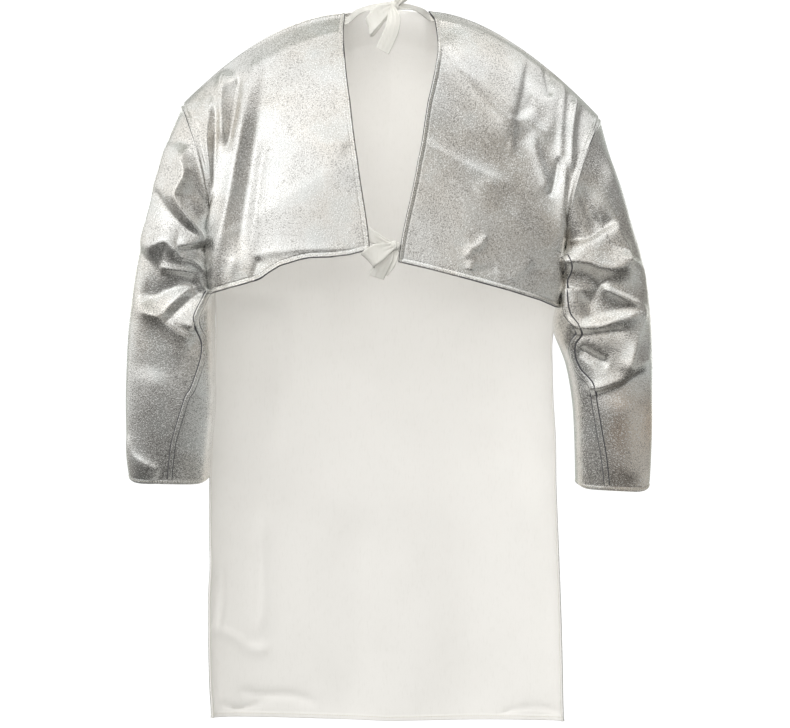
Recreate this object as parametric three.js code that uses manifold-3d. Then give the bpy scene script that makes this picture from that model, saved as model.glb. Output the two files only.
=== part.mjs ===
// Heat-resistant open-back coat, as it hangs on a wearer: a long front panel, two short back panels, two
// set-in sleeves, and two pairs of tie tapes tied in bows. Millimetres, +Z up. The wearer faces +Y, and +X is
// the wearer's right. The origin is the middle of the seat on the shoulders, level with the side of the neck.

import * as THREE from "three";
import Module from "manifold-3d";
import { mergeVertices } from "three/addons/utils/BufferGeometryUtils.js";

const wasm = await Module();
wasm.setup();

// Driving dimensions
const COAT_LENGTH = 1022;
const CLOTH_WALL = 1.6;
const SEAM_GAP = 0.2;
const TAPE_WALL = 1.0;
const KNOT_CORE = { halfWide: 8, halfTall: 5.5, halfDeep: 3.2 };
const KNOT_GAP = 0.35;
const KNOT_WALL = 1.8;
const KNOT_SHOWS = 4;
const FRONT_NECK_DEPTH = 52;
const FRONT_NECK_RISE = 8;
const ARMHOLE_DEPTH = 82;
const ARMHOLE_BOW = 13;
const ROUND_DROP = 95;
const SIDE_PLEAT = { height: 13, reach: 9, topZ: -205, fullZ: -275, startY: -40, fullY: -64 };
const SHOULDER_DROP_MIX = 2;
const ROW_SPREAD = 1.35;
const PANEL_FOLD_FADE = { side: 16, rows: 2 };
const SLEEVE_FOLD_FADE = { rings: 3, turnedAway: -0.1, turnedBack: 0.6 };
const SLEEVE_SETTLES = 1.6;
const FOLD_END = { outside: 0.12, inside: 0.2 };
const HEM_ARCH_SPAN = 0.75;
const HEM_ARCH_MIX = 4;
const BACK_FULLNESS = 4;
const FRONT_FULLNESS = 3;

// Grid counts
const ARM_ROWS = 11;
const BACK_SEAM_ROWS = 4;
const FRONT_SKIRT_ROWS = 14;
const BACK_COLUMNS = 13;
const NECK_COLUMNS = 4;
const FRONT_SHOULDER_COLUMNS = 10;
const SLEEVE_RINGS = 24;
const EDGE_CROWDING = 1.6;
const SAME_POINT = 1e-3;

// Landmarks of the two halves, X as a distance from the middle
const SIDES = {
  left: {
    sign: -1,
    neckX: 62, neckZ: -7, tipX: 292, tipZ: -137, ridgePower: 1.85,
    pitX: 249, pitZ: -345, hemX: 248, hemZ: -402, openHemZ: -346, hemArch: 11,
  },
  right: {
    sign: 1,
    neckX: 56, neckZ: -4, tipX: 298, tipZ: -156, ridgePower: 1.75,
    pitX: 245, pitZ: -360, hemX: 242, hemZ: -432, openHemZ: -363, hemArch: -2,
  },
};

const table = (columns, rows) =>
  rows.map((row) => Object.fromEntries(columns.map((column, index) => [column, row[index]])));

// Opening edges of the back panels, from the neck down
const OPENING_COLUMNS = ["z", "x", "y"];
const OPENING_EDGE = {
  left: table(OPENING_COLUMNS, [
    [-7, 62, 0], [-34, 64, -30], [-80, 61, -62], [-136, 54, -85], [-221, 43, -105], [-346, 26, -118],
  ]),
  right: table(OPENING_COLUMNS, [
    [-4, 56, 0], [-17, 64, -22], [-49, 68, -45], [-80, 66, -62], [-140, 54, -86], [-221, 40, -105],
    [-363, 13, -118],
  ]),
};

// Middle line of the front panel, from the neckline to the hem
const FRONT_LINE = table(["z", "y"], [
  [3, FRONT_NECK_DEPTH], [-40, 84], [-110, 110], [-200, 122], [-330, 126], [-430, 124], [-700, 120],
  [-COAT_LENGTH, 116],
]);

// Free side edges of the front panel, below the side seams
const FREE_EDGE_COLUMNS = ["z", "x", "y"];
const FREE_EDGE = {
  left: table(FREE_EDGE_COLUMNS, [
    [-402, 248, 0], [-425, 249, 16], [-450, 251, 30], [-490, 252, 38], [-560, 254, 44], [-700, 257, 50],
    [-860, 255, 56], [-1012, 255, 60],
  ]),
  right: table(FREE_EDGE_COLUMNS, [
    [-432, 242, 0], [-462, 238, 10], [-500, 236, 20], [-600, 239, 36], [-720, 242, 48], [-860, 247, 56],
    [-1017, 251, 60],
  ]),
};

// Sleeve sections, below the armhole to the cuff: outer and inner point seen from behind, middle, half depth
const SECTION_COLUMNS = ["outX", "outZ", "inX", "inZ", "midY", "depth"];
const SLEEVE_SECTIONS = {
  left: table(SECTION_COLUMNS, [
    [309, -182, 253, -362, -1, 80], [327, -236, 254, -384, -4, 77],
    [342, -300, 252, -408, -8, 73], [357, -378, 248, -440, -10, 69], [367, -460, 245, -490, -8, 66],
    [372, -545, 247, -560, 2, 63], [371, -615, 252, -622, 14, 60], [368, -673, 257, -675, 26, 57],
  ]),
  right: table(SECTION_COLUMNS, [
    [312, -210, 248, -378, -1, 80], [328, -258, 248, -400, -4, 77],
    [343, -312, 247, -425, -8, 73], [358, -365, 247, -456, -10, 69], [369, -440, 252, -505, -8, 66],
    [372, -530, 259, -560, 2, 63], [372, -610, 264, -620, 14, 60], [369, -686, 267, -681, 26, 57],
  ]),
};

// Folds seen from behind: a bowed crest line, its height, and its fall to the left and right of the line
const FOLD_COLUMNS = ["fromX", "fromZ", "toX", "toZ", "bow", "height", "leftFall", "rightFall"];
const BACK_FOLDS = {
  left: table(FOLD_COLUMNS, [
    [-186, -96, -226, -335, 6, -8, 12, 14], [-206, -100, -236, -330, 4, 7, 12, 10],
    [-226, -98, -233, -190, 3, -8, 8, 9], [-247, -140, -250, -245, 4, -7, 8, 8],
  ]),
  right: table(FOLD_COLUMNS, [
    [240, -105, 247, -230, 4, 6, 12, 12], [221, -90, 214, -205, 3, -6, 10, 12],
    [190, -78, 166, -205, 4, 5, 12, 14], [112, -338, 138, -346, 3, -5, 7, 9],
  ]),
};
const SLEEVE_FOLDS = {
  left: table(FOLD_COLUMNS, [
    [-288, -200, -266, -330, -18, 12, 9, 30], [-332, -336, -266, -331, 5, 11, 30, 10],
    [-328, -354, -298, -352, 3, -10, 14, 14], [-328, -364, -270, -374, 2, 7, 14, 12],
    [-348, -392, -288, -386, 2, -8, 16, 14], [-354, -408, -292, -400, 3, 8, 12, 18],
    [-350, -442, -280, -464, 4, -8, 8, 22],
  ]),
  right: table(FOLD_COLUMNS, [
    [250, -352, 342, -350, -16, 12, 34, 10], [262, -366, 284, -410, 5, -13, 15, 15],
    [276, -362, 357, -423, -3, 8, 18, 12], [258, -443, 357, -430, -3, 10, 12, 16],
    [356, -425, 336, -514, 2, 5, 12, 12], [286, -532, 370, -518, -3, -8, 10, 22],
  ]),
};
const FRONT_FOLDS = table(FOLD_COLUMNS, [
  [-154, -430, -150, -640, 4, 6, 18, 24], [-186, -700, -178, -1010, 5, -6, 20, 22],
  [-238, -800, -240, -1000, 3, 6, 14, 16], [96, -560, 110, -1010, -6, 5, 30, 34],
  [190, -640, 204, -1010, 4, -6, 22, 26], [-40, -720, -52, -1010, 5, 5, 30, 30],
]);

// Tie tapes: path points, and the direction of the tape's width, turned from +Z to +X and tipped towards +Y
const TAPE_COLUMNS = ["x", "y", "z", "turn", "tip", "wide"];
const NECK_BOW = {
  knot: [6, -62, -3],
  leftStrap: table(TAPE_COLUMNS, [
    [-75.8, -9, -22.3, 0, 47, 20], [-66.8, -10, -21.9, 0, 47, 20], [-57.8, -11, -21.7, 0, 47, 21],
    [-46, -31, -13, -14, 49, 23], [-32, -50, -8, -8, 54, 22], [-12, -60, -5, 0, 40, 15],
    [6, -62, -3, 0, 10, 9],
  ]),
  leftLoop: table(TAPE_COLUMNS, [
    [6, -64, -3, 45, 0, 9], [-4, -70, -10, 40, 0, 17], [-15, -76, -22, 36, 0, 23],
    [-22, -73, -32, 34, 0, 24], [-20, -65, -30, 34, 0, 23], [-10, -62, -18, 38, 0, 18],
    [4, -61, -4, 45, 0, 9],
  ]),
  leftTail: table(TAPE_COLUMNS, [
    [0, -63, -4, 80, 0, 9], [6, -71, -18, 84, 12, 17], [7, -75, -36, 92, 20, 22],
    [3, -75, -54, 102, 14, 24], [-5, -73, -70, 112, 6, 24],
  ]),
  rightStrap: table(TAPE_COLUMNS, [
    [75.7, -10.5, -19.1, 0, 45, 20], [67.7, -11, -17.7, 0, 45, 20], [56.7, -12, -16.7, 0, 45, 21],
    [45, -32, -9.5, 18, 50, 23], [31, -48, -5, 8, 54, 21], [18, -55, -3, 0, 40, 14],
    [7, -57.6, -3, 0, 10, 11],
  ]),
  rightLoop: table(TAPE_COLUMNS, [
    [11, -60, 0, -55, 0, 9], [17, -57, 9, -48, 0, 17], [26, -60, 18, -45, 0, 20],
    [30, -66, 22, -45, 0, 20], [25, -71, 17, -46, 0, 19], [16, -69, 8, -50, 0, 15],
    [11, -65, 0, -55, 0, 9],
  ]),
};
const BACK_BOW = {
  knot: [2, -126, -343],
  leftStrap: table(TAPE_COLUMNS, [
    [-40, -113.6, -326, -12, 5, 23], [-28, -113.8, -329, -14, 5, 24], [-18, -118, -335, -18, -2, 21],
    [-8, -125, -341, -12, 0, 13], [2, -126, -343, 0, 0, 9],
  ]),
  leftLoop: table(TAPE_COLUMNS, [
    [2, -128, -343, -40, 0, 9], [-9, -134, -346, -32, 0, 19], [-21, -140, -351, -28, 0, 24],
    [-34, -137, -357, -26, 0, 24], [-32, -129, -357, -26, 0, 23], [-18, -127, -350, -30, 0, 18],
    [1, -126, -343, -40, 0, 9],
  ]),
  leftTail: table(TAPE_COLUMNS, [
    [-3, -126, -343, 60, 0, 8], [-8, -128, -356, 54, 8, 18], [-13, -128, -369, 50, 10, 22],
    [-20, -125, -381, 48, 6, 22],
  ]),
  rightStrap: table(TAPE_COLUMNS, [
    [32, -113.6, -350, 4, 5, 20], [20, -113.8, -348, 6, 5, 19], [14, -114.7, -346, 6, 2, 15],
    [9, -118.4, -344, 0, 0, 12], [2, -121.6, -343, 0, 0, 10],
  ]),
  rightLoop: table(TAPE_COLUMNS, [
    [4, -127, -348, 80, 0, 9], [8, -126, -360, 74, 4, 16], [5, -124, -373, 64, 8, 19],
    [-1, -121, -385, 56, 4, 19],
  ]),
};
const TAPE_STEPS = 3;
const KNOT_SIDES = 12;

const ALUMINISED = { color: 0xc4c4c0, roughness: 0.34, metalness: 0.9 };
const BACKED_CLOTH = { color: 0xdcdcd6, roughness: 0.6, metalness: 0.3 };
const COTTON_TAPE = { color: 0xe6e3d8, roughness: 0.9, metalness: 0 };

const { lerp, clamp, smoothstep } = THREE.MathUtils;
const DEGREE = Math.PI / 180;

// Smooth value of one column of a table at a place along it, counted in rows
function along(rows, column, place) {
  const last = rows.length - 1;
  const row = clamp(Math.floor(place), 0, last - 1);
  const pick = (index) => rows[clamp(index, 0, last)][column];
  const t = place - row;
  const before = (pick(row + 1) - pick(row - 1)) / 2;
  const after = (pick(row + 2) - pick(row)) / 2;
  const square = t * t;
  const cube = square * t;
  return (2 * cube - 3 * square + 1) * pick(row) + (cube - 2 * square + t) * before
    + (3 * square - 2 * cube) * pick(row + 1) + (cube - square) * after;
}

// Place along a table whose z falls from row to row
function placeAtHeight(rows, z) {
  let row = 0;
  while (row < rows.length - 2 && rows[row + 1].z > z) row += 1;
  return row + clamp((rows[row].z - z) / (rows[row].z - rows[row + 1].z), 0, 1);
}

const arch = (share) => Math.sqrt(1 - (1 - clamp(share, 0, 1)) ** 2);

function ridgeHeight(side, x) {
  const share = clamp((x - side.neckX) / (side.tipX - side.neckX), 0, 1);
  return lerp(side.neckZ, side.tipZ, share ** side.ridgePower);
}

// Armhole: angle 0 at the shoulder tip, a quarter turn at the back, a half turn at the armpit
function armhole(side, angle) {
  const fall = (1 - Math.cos(angle)) / 2;
  const bow = ARMHOLE_BOW * Math.sin(angle) ** 2;
  return new THREE.Vector3(
    lerp(side.tipX, side.pitX, fall) - bow,
    -ARMHOLE_DEPTH * Math.sin(angle),
    lerp(side.tipZ, side.pitZ, fall),
  );
}

const armholeOut = (angle) => new THREE.Vector3(0, -Math.sin(angle), Math.cos(angle));

// Height of the folds at a point seen from behind
function foldHeight(folds, x, z) {
  return folds.reduce((total, fold) => {
    const runX = fold.toX - fold.fromX;
    const runZ = fold.toZ - fold.fromZ;
    const length = Math.hypot(runX, runZ);
    const share = ((x - fold.fromX) * runX + (z - fold.fromZ) * runZ) / length ** 2;
    const across = ((z - fold.fromZ) * runX - (x - fold.fromX) * runZ) / length;
    const offLine = across - fold.bow * 4 * share * (1 - share);
    const fall = offLine > 0 ? fold.leftFall : fold.rightFall;
    const ends = smoothstep(share, -FOLD_END.outside, FOLD_END.inside)
      * smoothstep(1 - share, -FOLD_END.outside, FOLD_END.inside);
    return total + fold.height * ends * Math.exp(-((offLine / fall) ** 2));
  }, 0);
}

// Unit normals of a grid of points, rows down and columns across
function gridNormals(grid, closed) {
  const last = grid[0].length - 1;
  const wrap = (column) => (closed ? (column + last + 1) % (last + 1) : clamp(column, 0, last));
  return grid.map((row, rowIndex) => row.map((_, column) => {
    const above = grid[Math.max(rowIndex - 1, 0)][column];
    const below = grid[Math.min(rowIndex + 1, grid.length - 1)][column];
    const across = row[wrap(column + 1)].clone().sub(row[wrap(column - 1)]);
    return across.cross(below.clone().sub(above)).normalize();
  }));
}

function facingOut(normals, sign) {
  return normals.map((row) => row.map((normal) => normal.clone().multiplyScalar(sign)));
}

function moveAlong(grid, normals, amount) {
  return grid.map((row, rowIndex) => row.map((point, column) =>
    point.clone().addScaledVector(normals[rowIndex][column], amount(point, rowIndex, column))));
}

// Closed wall between an outer and an inner grid
function wallGeometry(outer, inner, closed) {
  const rows = outer.length;
  const columns = outer[0].length;
  const spans = closed ? columns : columns - 1;
  const at = (row, column, layer) => (layer * rows + row) * columns + (column % columns);
  const faces = [];
  const quad = (a, b, c, d) => faces.push(a, b, c, a, c, d);
  for (let row = 0; row < rows - 1; row += 1) {
    for (let column = 0; column < spans; column += 1) {
      quad(at(row, column, 0), at(row, column + 1, 0), at(row + 1, column + 1, 0), at(row + 1, column, 0));
      quad(at(row, column, 1), at(row + 1, column, 1), at(row + 1, column + 1, 1), at(row, column + 1, 1));
    }
  }
  for (let column = 0; column < spans; column += 1) {
    quad(at(0, column + 1, 0), at(0, column, 0), at(0, column, 1), at(0, column + 1, 1));
    const end = rows - 1;
    quad(at(end, column, 0), at(end, column + 1, 0), at(end, column + 1, 1), at(end, column, 1));
  }
  if (!closed) {
    for (let row = 0; row < rows - 1; row += 1) {
      quad(at(row, 0, 0), at(row + 1, 0, 0), at(row + 1, 0, 1), at(row, 0, 1));
      quad(at(row + 1, spans, 0), at(row, spans, 0), at(row, spans, 1), at(row + 1, spans, 1));
    }
  }
  return closedGeometry([...outer.flat(), ...inner.flat()], faces);
}

// Geometry from points and triangles, turned so that its faces point out
function closedGeometry(points, faces) {
  const volume = new THREE.Vector3();
  let total = 0;
  for (let index = 0; index < faces.length; index += 3) {
    const [a, b, c] = faces.slice(index, index + 3).map((corner) => points[corner]);
    total += volume.crossVectors(b, c).dot(a);
  }
  const turned = total < 0 ? [...faces].reverse() : faces;
  const geometry = new THREE.BufferGeometry().setFromPoints(points);
  geometry.setIndex(turned);
  geometry.computeVertexNormals();
  return geometry;
}

function toSolid(geometry) {
  const bare = geometry.clone();
  bare.deleteAttribute("normal");
  bare.deleteAttribute("uv");
  const merged = mergeVertices(bare, SAME_POINT);
  return new wasm.Manifold(new wasm.Mesh({
    numProp: 3,
    vertProperties: new Float32Array(merged.attributes.position.array),
    triVerts: new Uint32Array(merged.index.array),
  }));
}

function toGeometry(solid) {
  const mesh = solid.getMesh();
  const geometry = new THREE.BufferGeometry();
  const places = new Float32Array(mesh.vertProperties);
  geometry.setAttribute("position", new THREE.BufferAttribute(places, 3));
  geometry.setIndex([...mesh.triVerts]);
  geometry.computeVertexNormals();
  return geometry;
}

// Shares across a panel, closer together towards its side edge
const crowded = (share) => 1 - (1 - share) ** EDGE_CROWDING;

// Fold of a back panel that hangs over the back of the armhole
function sidePleat(point, edgeDistance) {
  const share = edgeDistance / SIDE_PLEAT.reach;
  const low = smoothstep(-point.z, -SIDE_PLEAT.topZ, -SIDE_PLEAT.fullZ);
  const behind = smoothstep(-point.y, -SIDE_PLEAT.startY, -SIDE_PLEAT.fullY);
  return SIDE_PLEAT.height * low * behind * share * Math.exp(1 - share);
}

// Back panels
function backPanel(name) {
  const side = SIDES[name];
  const opening = OPENING_EDGE[name];
  const rows = ARM_ROWS + BACK_SEAM_ROWS;
  const edges = [];
  const grid = [];
  for (let row = 0; row <= rows; row += 1) {
    const t = row / rows;
    const openZ = lerp(side.neckZ, side.openHemZ, t ** ROW_SPREAD);
    const place = placeAtHeight(opening, openZ);
    const open = new THREE.Vector3(along(opening, "x", place), along(opening, "y", place), openZ);
    const seam = (row - ARM_ROWS) / BACK_SEAM_ROWS;
    const edge = row <= ARM_ROWS
      ? armhole(side, Math.PI * row / ARM_ROWS)
      : new THREE.Vector3(lerp(side.pitX, side.hemX, seam), 0, lerp(side.pitZ, side.hemZ, seam));
    if (row <= ARM_ROWS) edge.x -= SEAM_GAP;
    const line = [];
    for (let column = 0; column <= BACK_COLUMNS; column += 1) {
      const share = crowded(column / BACK_COLUMNS);
      const ridgeX = lerp(side.neckX, side.tipX, share);
      const lift = ridgeHeight(side, ridgeX) - lerp(side.neckZ, side.tipZ, share);
      const y = edge.y + (open.y - edge.y) * Math.sqrt(1 - share ** BACK_FULLNESS);
      line.push(new THREE.Vector3(
        side.sign * lerp(open.x, edge.x, share),
        Math.min(y, -SEAM_GAP),
        lerp(open.z, edge.z, share) + lift * (1 - t) ** SHOULDER_DROP_MIX
          + side.hemArch * Math.sin(Math.PI * Math.min(share / HEM_ARCH_SPAN, 1)) * t ** HEM_ARCH_MIX,
      ));
    }
    edges.push(edge);
    grid.push(line);
  }
  const folded = moveAlong(grid, facingOut(gridNormals(grid), -side.sign), (point, row) => {
    const edgeDistance = edges[row].x - Math.abs(point.x);
    const fade = smoothstep(edgeDistance, 0, PANEL_FOLD_FADE.side) * smoothstep(row, 0, PANEL_FOLD_FADE.rows);
    return fade * foldHeight(BACK_FOLDS[name], point.x, point.z) + sidePleat(point, edgeDistance);
  });
  const normals = facingOut(gridNormals(folded), -side.sign);
  for (let column = 0; column <= BACK_COLUMNS; column += 1) {
    const top = normals[0][column];
    normals[0][column] = new THREE.Vector3(top.x, 0, top.z).normalize();
  }
  for (let row = 0; row <= rows; row += 1) {
    normals[row][BACK_COLUMNS] = row <= ARM_ROWS
      ? armholeOut(Math.PI * row / ARM_ROWS)
      : new THREE.Vector3(side.sign, 0, 0);
  }
  return wallGeometry(folded, moveAlong(folded, normals, () => -CLOTH_WALL), false);
}

// Front panel
function frontHalfPoint(side, edge, middle, shoulderShare, share) {
  const neckShare = side.neckX / side.tipX;
  const topX = share * side.tipX;
  const inNeck = Math.max(0, 1 - (share / neckShare) ** 2);
  const topZ = share < neckShare ? side.neckZ + FRONT_NECK_RISE * inNeck : ridgeHeight(side, topX);
  const lift = topZ - lerp(side.neckZ + FRONT_NECK_RISE, side.tipZ, share);
  const plateau = edge.y + (middle.y - edge.y) * Math.sqrt(1 - share ** FRONT_FULLNESS);
  const topY = FRONT_NECK_DEPTH * Math.sqrt(inNeck);
  const rounding = arch((middle.topZ - middle.z) / ROUND_DROP);
  return new THREE.Vector3(
    side.sign * share * edge.x,
    Math.max(lerp(topY, plateau, rounding), SEAM_GAP),
    lerp(middle.z, edge.z, share) + lift * (1 - shoulderShare) ** SHOULDER_DROP_MIX,
  );
}

function frontPanel() {
  const rows = ARM_ROWS + BACK_SEAM_ROWS + FRONT_SKIRT_ROWS;
  const topZ = FRONT_LINE[0].z;
  const grid = [];
  for (let row = 0; row <= rows; row += 1) {
    const skirt = clamp((row - ARM_ROWS - BACK_SEAM_ROWS) / FRONT_SKIRT_ROWS, 0, 1);
    const shoulderShare = clamp(row / (ARM_ROWS + BACK_SEAM_ROWS), 0, 1);
    const waistZ = (SIDES.left.hemZ + SIDES.right.hemZ) / 2;
    const middleZ = skirt > 0
      ? lerp(waistZ, -COAT_LENGTH, skirt)
      : lerp(topZ, waistZ, shoulderShare ** ROW_SPREAD);
    const middle = { z: middleZ, topZ, y: along(FRONT_LINE, "y", placeAtHeight(FRONT_LINE, middleZ)) };
    const edges = Object.fromEntries(Object.entries(SIDES).map(([name, side]) => {
      const seam = (row - ARM_ROWS) / BACK_SEAM_ROWS;
      if (row <= ARM_ROWS) {
        const edge = armhole(side, -Math.PI * row / ARM_ROWS);
        edge.x -= SEAM_GAP;
        return [name, edge];
      }
      if (seam <= 1) {
        const x = lerp(side.pitX, side.hemX, seam);
        return [name, new THREE.Vector3(x, 0, lerp(side.pitZ, side.hemZ, seam))];
      }
      const free = FREE_EDGE[name];
      const z = lerp(side.hemZ, free[free.length - 1].z, skirt);
      const place = placeAtHeight(free, z);
      return [name, new THREE.Vector3(along(free, "x", place), along(free, "y", place), z)];
    }));
    const line = [];
    for (const name of ["left", "right"]) {
      const side = SIDES[name];
      const neckShare = side.neckX / side.tipX;
      const half = [];
      for (let column = 0; column <= NECK_COLUMNS + FRONT_SHOULDER_COLUMNS; column += 1) {
        const beyond = crowded((column - NECK_COLUMNS) / FRONT_SHOULDER_COLUMNS);
        const share = column <= NECK_COLUMNS
          ? neckShare * column / NECK_COLUMNS
          : lerp(neckShare, 1, beyond);
        half.push(frontHalfPoint(side, edges[name], middle, shoulderShare, share));
      }
      line.push(...(name === "left" ? half.reverse() : half.slice(1)));
    }
    grid.push(line);
  }
  const last = grid[0].length - 1;
  const folded = moveAlong(grid, gridNormals(grid), (point) => foldHeight(FRONT_FOLDS, point.x, point.z));
  const normals = gridNormals(folded);
  for (let column = 0; column <= last; column += 1) {
    if (Math.abs(grid[0][column].y) > SEAM_GAP) continue;
    const top = normals[0][column];
    normals[0][column] = new THREE.Vector3(top.x, 0, top.z).normalize();
  }
  for (let row = 0; row <= ARM_ROWS + BACK_SEAM_ROWS; row += 1) {
    const out = armholeOut(-Math.PI * row / ARM_ROWS);
    normals[row][0] = row <= ARM_ROWS ? out : new THREE.Vector3(-1, 0, 0);
    normals[row][last] = row <= ARM_ROWS ? out.clone() : new THREE.Vector3(1, 0, 0);
  }
  return wallGeometry(folded, moveAlong(folded, normals, () => -CLOTH_WALL), false);
}

// Sleeves
function sleeve(name) {
  const side = SIDES[name];
  const top = {
    outX: side.tipX, outZ: side.tipZ, inX: side.pitX, inZ: side.pitZ, midY: 0, depth: ARMHOLE_DEPTH,
  };
  const sections = [top, ...SLEEVE_SECTIONS[name]];
  const around = 2 * ARM_ROWS;
  const grid = [];
  for (let ring = 0; ring <= SLEEVE_RINGS; ring += 1) {
    const place = ring / SLEEVE_RINGS * (sections.length - 1);
    const values = SECTION_COLUMNS.map((column) => [column, along(sections, column, place)]);
    const section = Object.fromEntries(values);
    const settle = 1 - smoothstep(place, 0, SLEEVE_SETTLES);
    const line = [];
    for (let column = 0; column < around; column += 1) {
      const angle = 2 * Math.PI * column / around;
      const fall = (1 - Math.cos(angle)) / 2;
      const bow = ARMHOLE_BOW * Math.sin(angle) ** 2 * settle;
      line.push(new THREE.Vector3(
        side.sign * (lerp(section.outX, section.inX, fall) - bow + (ring === 0 ? SEAM_GAP : 0)),
        section.midY - section.depth * Math.sin(angle),
        lerp(section.outZ, section.inZ, fall),
      ));
    }
    grid.push(line);
  }
  const baseNormals = facingOut(gridNormals(grid, true), side.sign);
  const folded = moveAlong(grid, baseNormals, (point, ring, column) => {
    const away = -baseNormals[ring][column].y;
    const facing = smoothstep(away, SLEEVE_FOLD_FADE.turnedAway, SLEEVE_FOLD_FADE.turnedBack);
    const fade = smoothstep(ring, 0, SLEEVE_FOLD_FADE.rings);
    return facing * fade * foldHeight(SLEEVE_FOLDS[name], point.x, point.z);
  });
  const normals = facingOut(gridNormals(folded, true), side.sign);
  normals[0] = normals[0].map((_, column) => armholeOut(2 * Math.PI * column / around));
  return wallGeometry(folded, moveAlong(folded, normals, () => -CLOTH_WALL), true);
}

// Tie tapes
function tape(rows) {
  const steps = (rows.length - 1) * TAPE_STEPS;
  const stations = [];
  for (let step = 0; step <= steps; step += 1) {
    const place = step / TAPE_STEPS;
    const value = Object.fromEntries(TAPE_COLUMNS.map((column) => [column, along(rows, column, place)]));
    const turn = value.turn * DEGREE;
    const tip = value.tip * DEGREE;
    stations.push({
      point: new THREE.Vector3(value.x, value.y, value.z),
      across: new THREE.Vector3(
        Math.sin(turn) * Math.cos(tip),
        Math.sin(tip),
        Math.cos(turn) * Math.cos(tip),
      ),
      half: value.wide / 2,
    });
  }
  const edge = (sign, face) => stations.map(({ point, across, half }, step) => {
    const before = stations[Math.max(step - 1, 0)].point;
    const after = stations[Math.min(step + 1, steps)].point;
    const normal = across.clone().cross(after.clone().sub(before)).normalize();
    return point.clone().addScaledVector(across, sign * half).addScaledVector(normal, face * TAPE_WALL / 2);
  });
  const outer = edge(-1, 1).map((point, step) => [point, edge(1, 1)[step]]);
  const inner = edge(-1, -1).map((point, step) => [point, edge(1, -1)[step]]);
  return wallGeometry(outer, inner, false);
}

// Rounded bar along X at the knot, or the band that wraps it
function knotBar(centre, halfWide, halfTall, halfDeep) {
  const outline = new THREE.Shape();
  outline.absellipse(0, 0, halfTall, halfDeep, 0, 2 * Math.PI, false, 0);
  const bar = new THREE.ExtrudeGeometry(outline, {
    depth: 2 * halfWide, bevelEnabled: false, curveSegments: KNOT_SIDES,
  });
  bar.rotateY(Math.PI / 2);
  bar.translate(centre[0] - halfWide, centre[1], centre[2]);
  return bar;
}

function bowTapes(bow) {
  const { halfWide, halfTall, halfDeep } = KNOT_CORE;
  const bar = (wider, thicker) =>
    toSolid(knotBar(bow.knot, halfWide + wider, halfTall + thicker, halfDeep + thicker));
  const core = bar(0, 0);
  const hole = bar(KNOT_GAP, KNOT_GAP);
  const wrap = bar(-KNOT_SHOWS, KNOT_GAP + KNOT_WALL);
  const room = bar(KNOT_GAP - KNOT_SHOWS, 2 * KNOT_GAP + KNOT_WALL);
  const left = [bow.leftStrap, bow.leftLoop, bow.leftTail].map((rows) => toSolid(tape(rows)));
  const right = [bow.rightStrap, bow.rightLoop].map((rows) => toSolid(tape(rows)));
  const union = (solids) => solids.reduce((whole, solid) => whole.add(solid));
  return {
    left: toGeometry(union(left).subtract(room).add(core)),
    right: toGeometry(union([wrap, ...right]).subtract(hole)),
  };
}

function piece(name, geometry, look) {
  const mesh = new THREE.Mesh(geometry, new THREE.MeshStandardMaterial({ ...look, side: THREE.DoubleSide }));
  mesh.name = name;
  return mesh;
}

const coat = new THREE.Group();
coat.add(piece("front_panel", frontPanel(), BACKED_CLOTH));
for (const name of ["left", "right"]) {
  coat.add(piece(`back_panel_${name}`, backPanel(name), ALUMINISED));
  coat.add(piece(`sleeve_${name}`, sleeve(name), ALUMINISED));
}
const neckBow = bowTapes(NECK_BOW);
const backBow = bowTapes(BACK_BOW);
coat.add(piece("neck_tie_left", neckBow.left, COTTON_TAPE));
coat.add(piece("neck_tie_right", neckBow.right, COTTON_TAPE));
coat.add(piece("back_tie_left", backBow.left, COTTON_TAPE));
coat.add(piece("back_tie_right", backBow.right, COTTON_TAPE));

export default coat;
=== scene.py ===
"""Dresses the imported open-back coat: laminated cloth panels with folds, hems and seams, topstitching and tied
cotton tapes, with a plain studio stage. Working sizes are in millimetres and become metres in the meshes."""

import math
from collections import namedtuple

import bpy
import numpy as np
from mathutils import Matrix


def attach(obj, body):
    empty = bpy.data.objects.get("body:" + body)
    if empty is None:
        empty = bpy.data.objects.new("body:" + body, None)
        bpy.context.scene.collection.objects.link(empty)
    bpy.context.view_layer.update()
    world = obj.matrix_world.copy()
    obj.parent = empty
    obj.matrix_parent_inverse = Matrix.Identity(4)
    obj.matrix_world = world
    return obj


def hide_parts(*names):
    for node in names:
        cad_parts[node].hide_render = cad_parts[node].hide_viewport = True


bl_info = {
    "name": "Heat-resistant coat",
    "version": (1, 0, 0),
    "blender": (4, 5, 0),
    "location": "View3D > Sidebar > Coat",
    "description": "Builds the cloth, stitching and tie tapes of an open-back aluminised coat",
    "category": "Object",
}

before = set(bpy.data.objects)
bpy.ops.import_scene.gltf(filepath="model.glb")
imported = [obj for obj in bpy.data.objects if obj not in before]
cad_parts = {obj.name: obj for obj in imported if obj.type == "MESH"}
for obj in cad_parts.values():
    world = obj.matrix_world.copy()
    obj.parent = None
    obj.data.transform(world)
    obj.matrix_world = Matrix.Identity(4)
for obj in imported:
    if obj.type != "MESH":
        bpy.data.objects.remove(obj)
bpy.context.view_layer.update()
BODY = "root"
WHITE_CLOTH = "white_cloth"
WHITE_BLOCKERS = "white_blockers"
MM = 0.001

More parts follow.
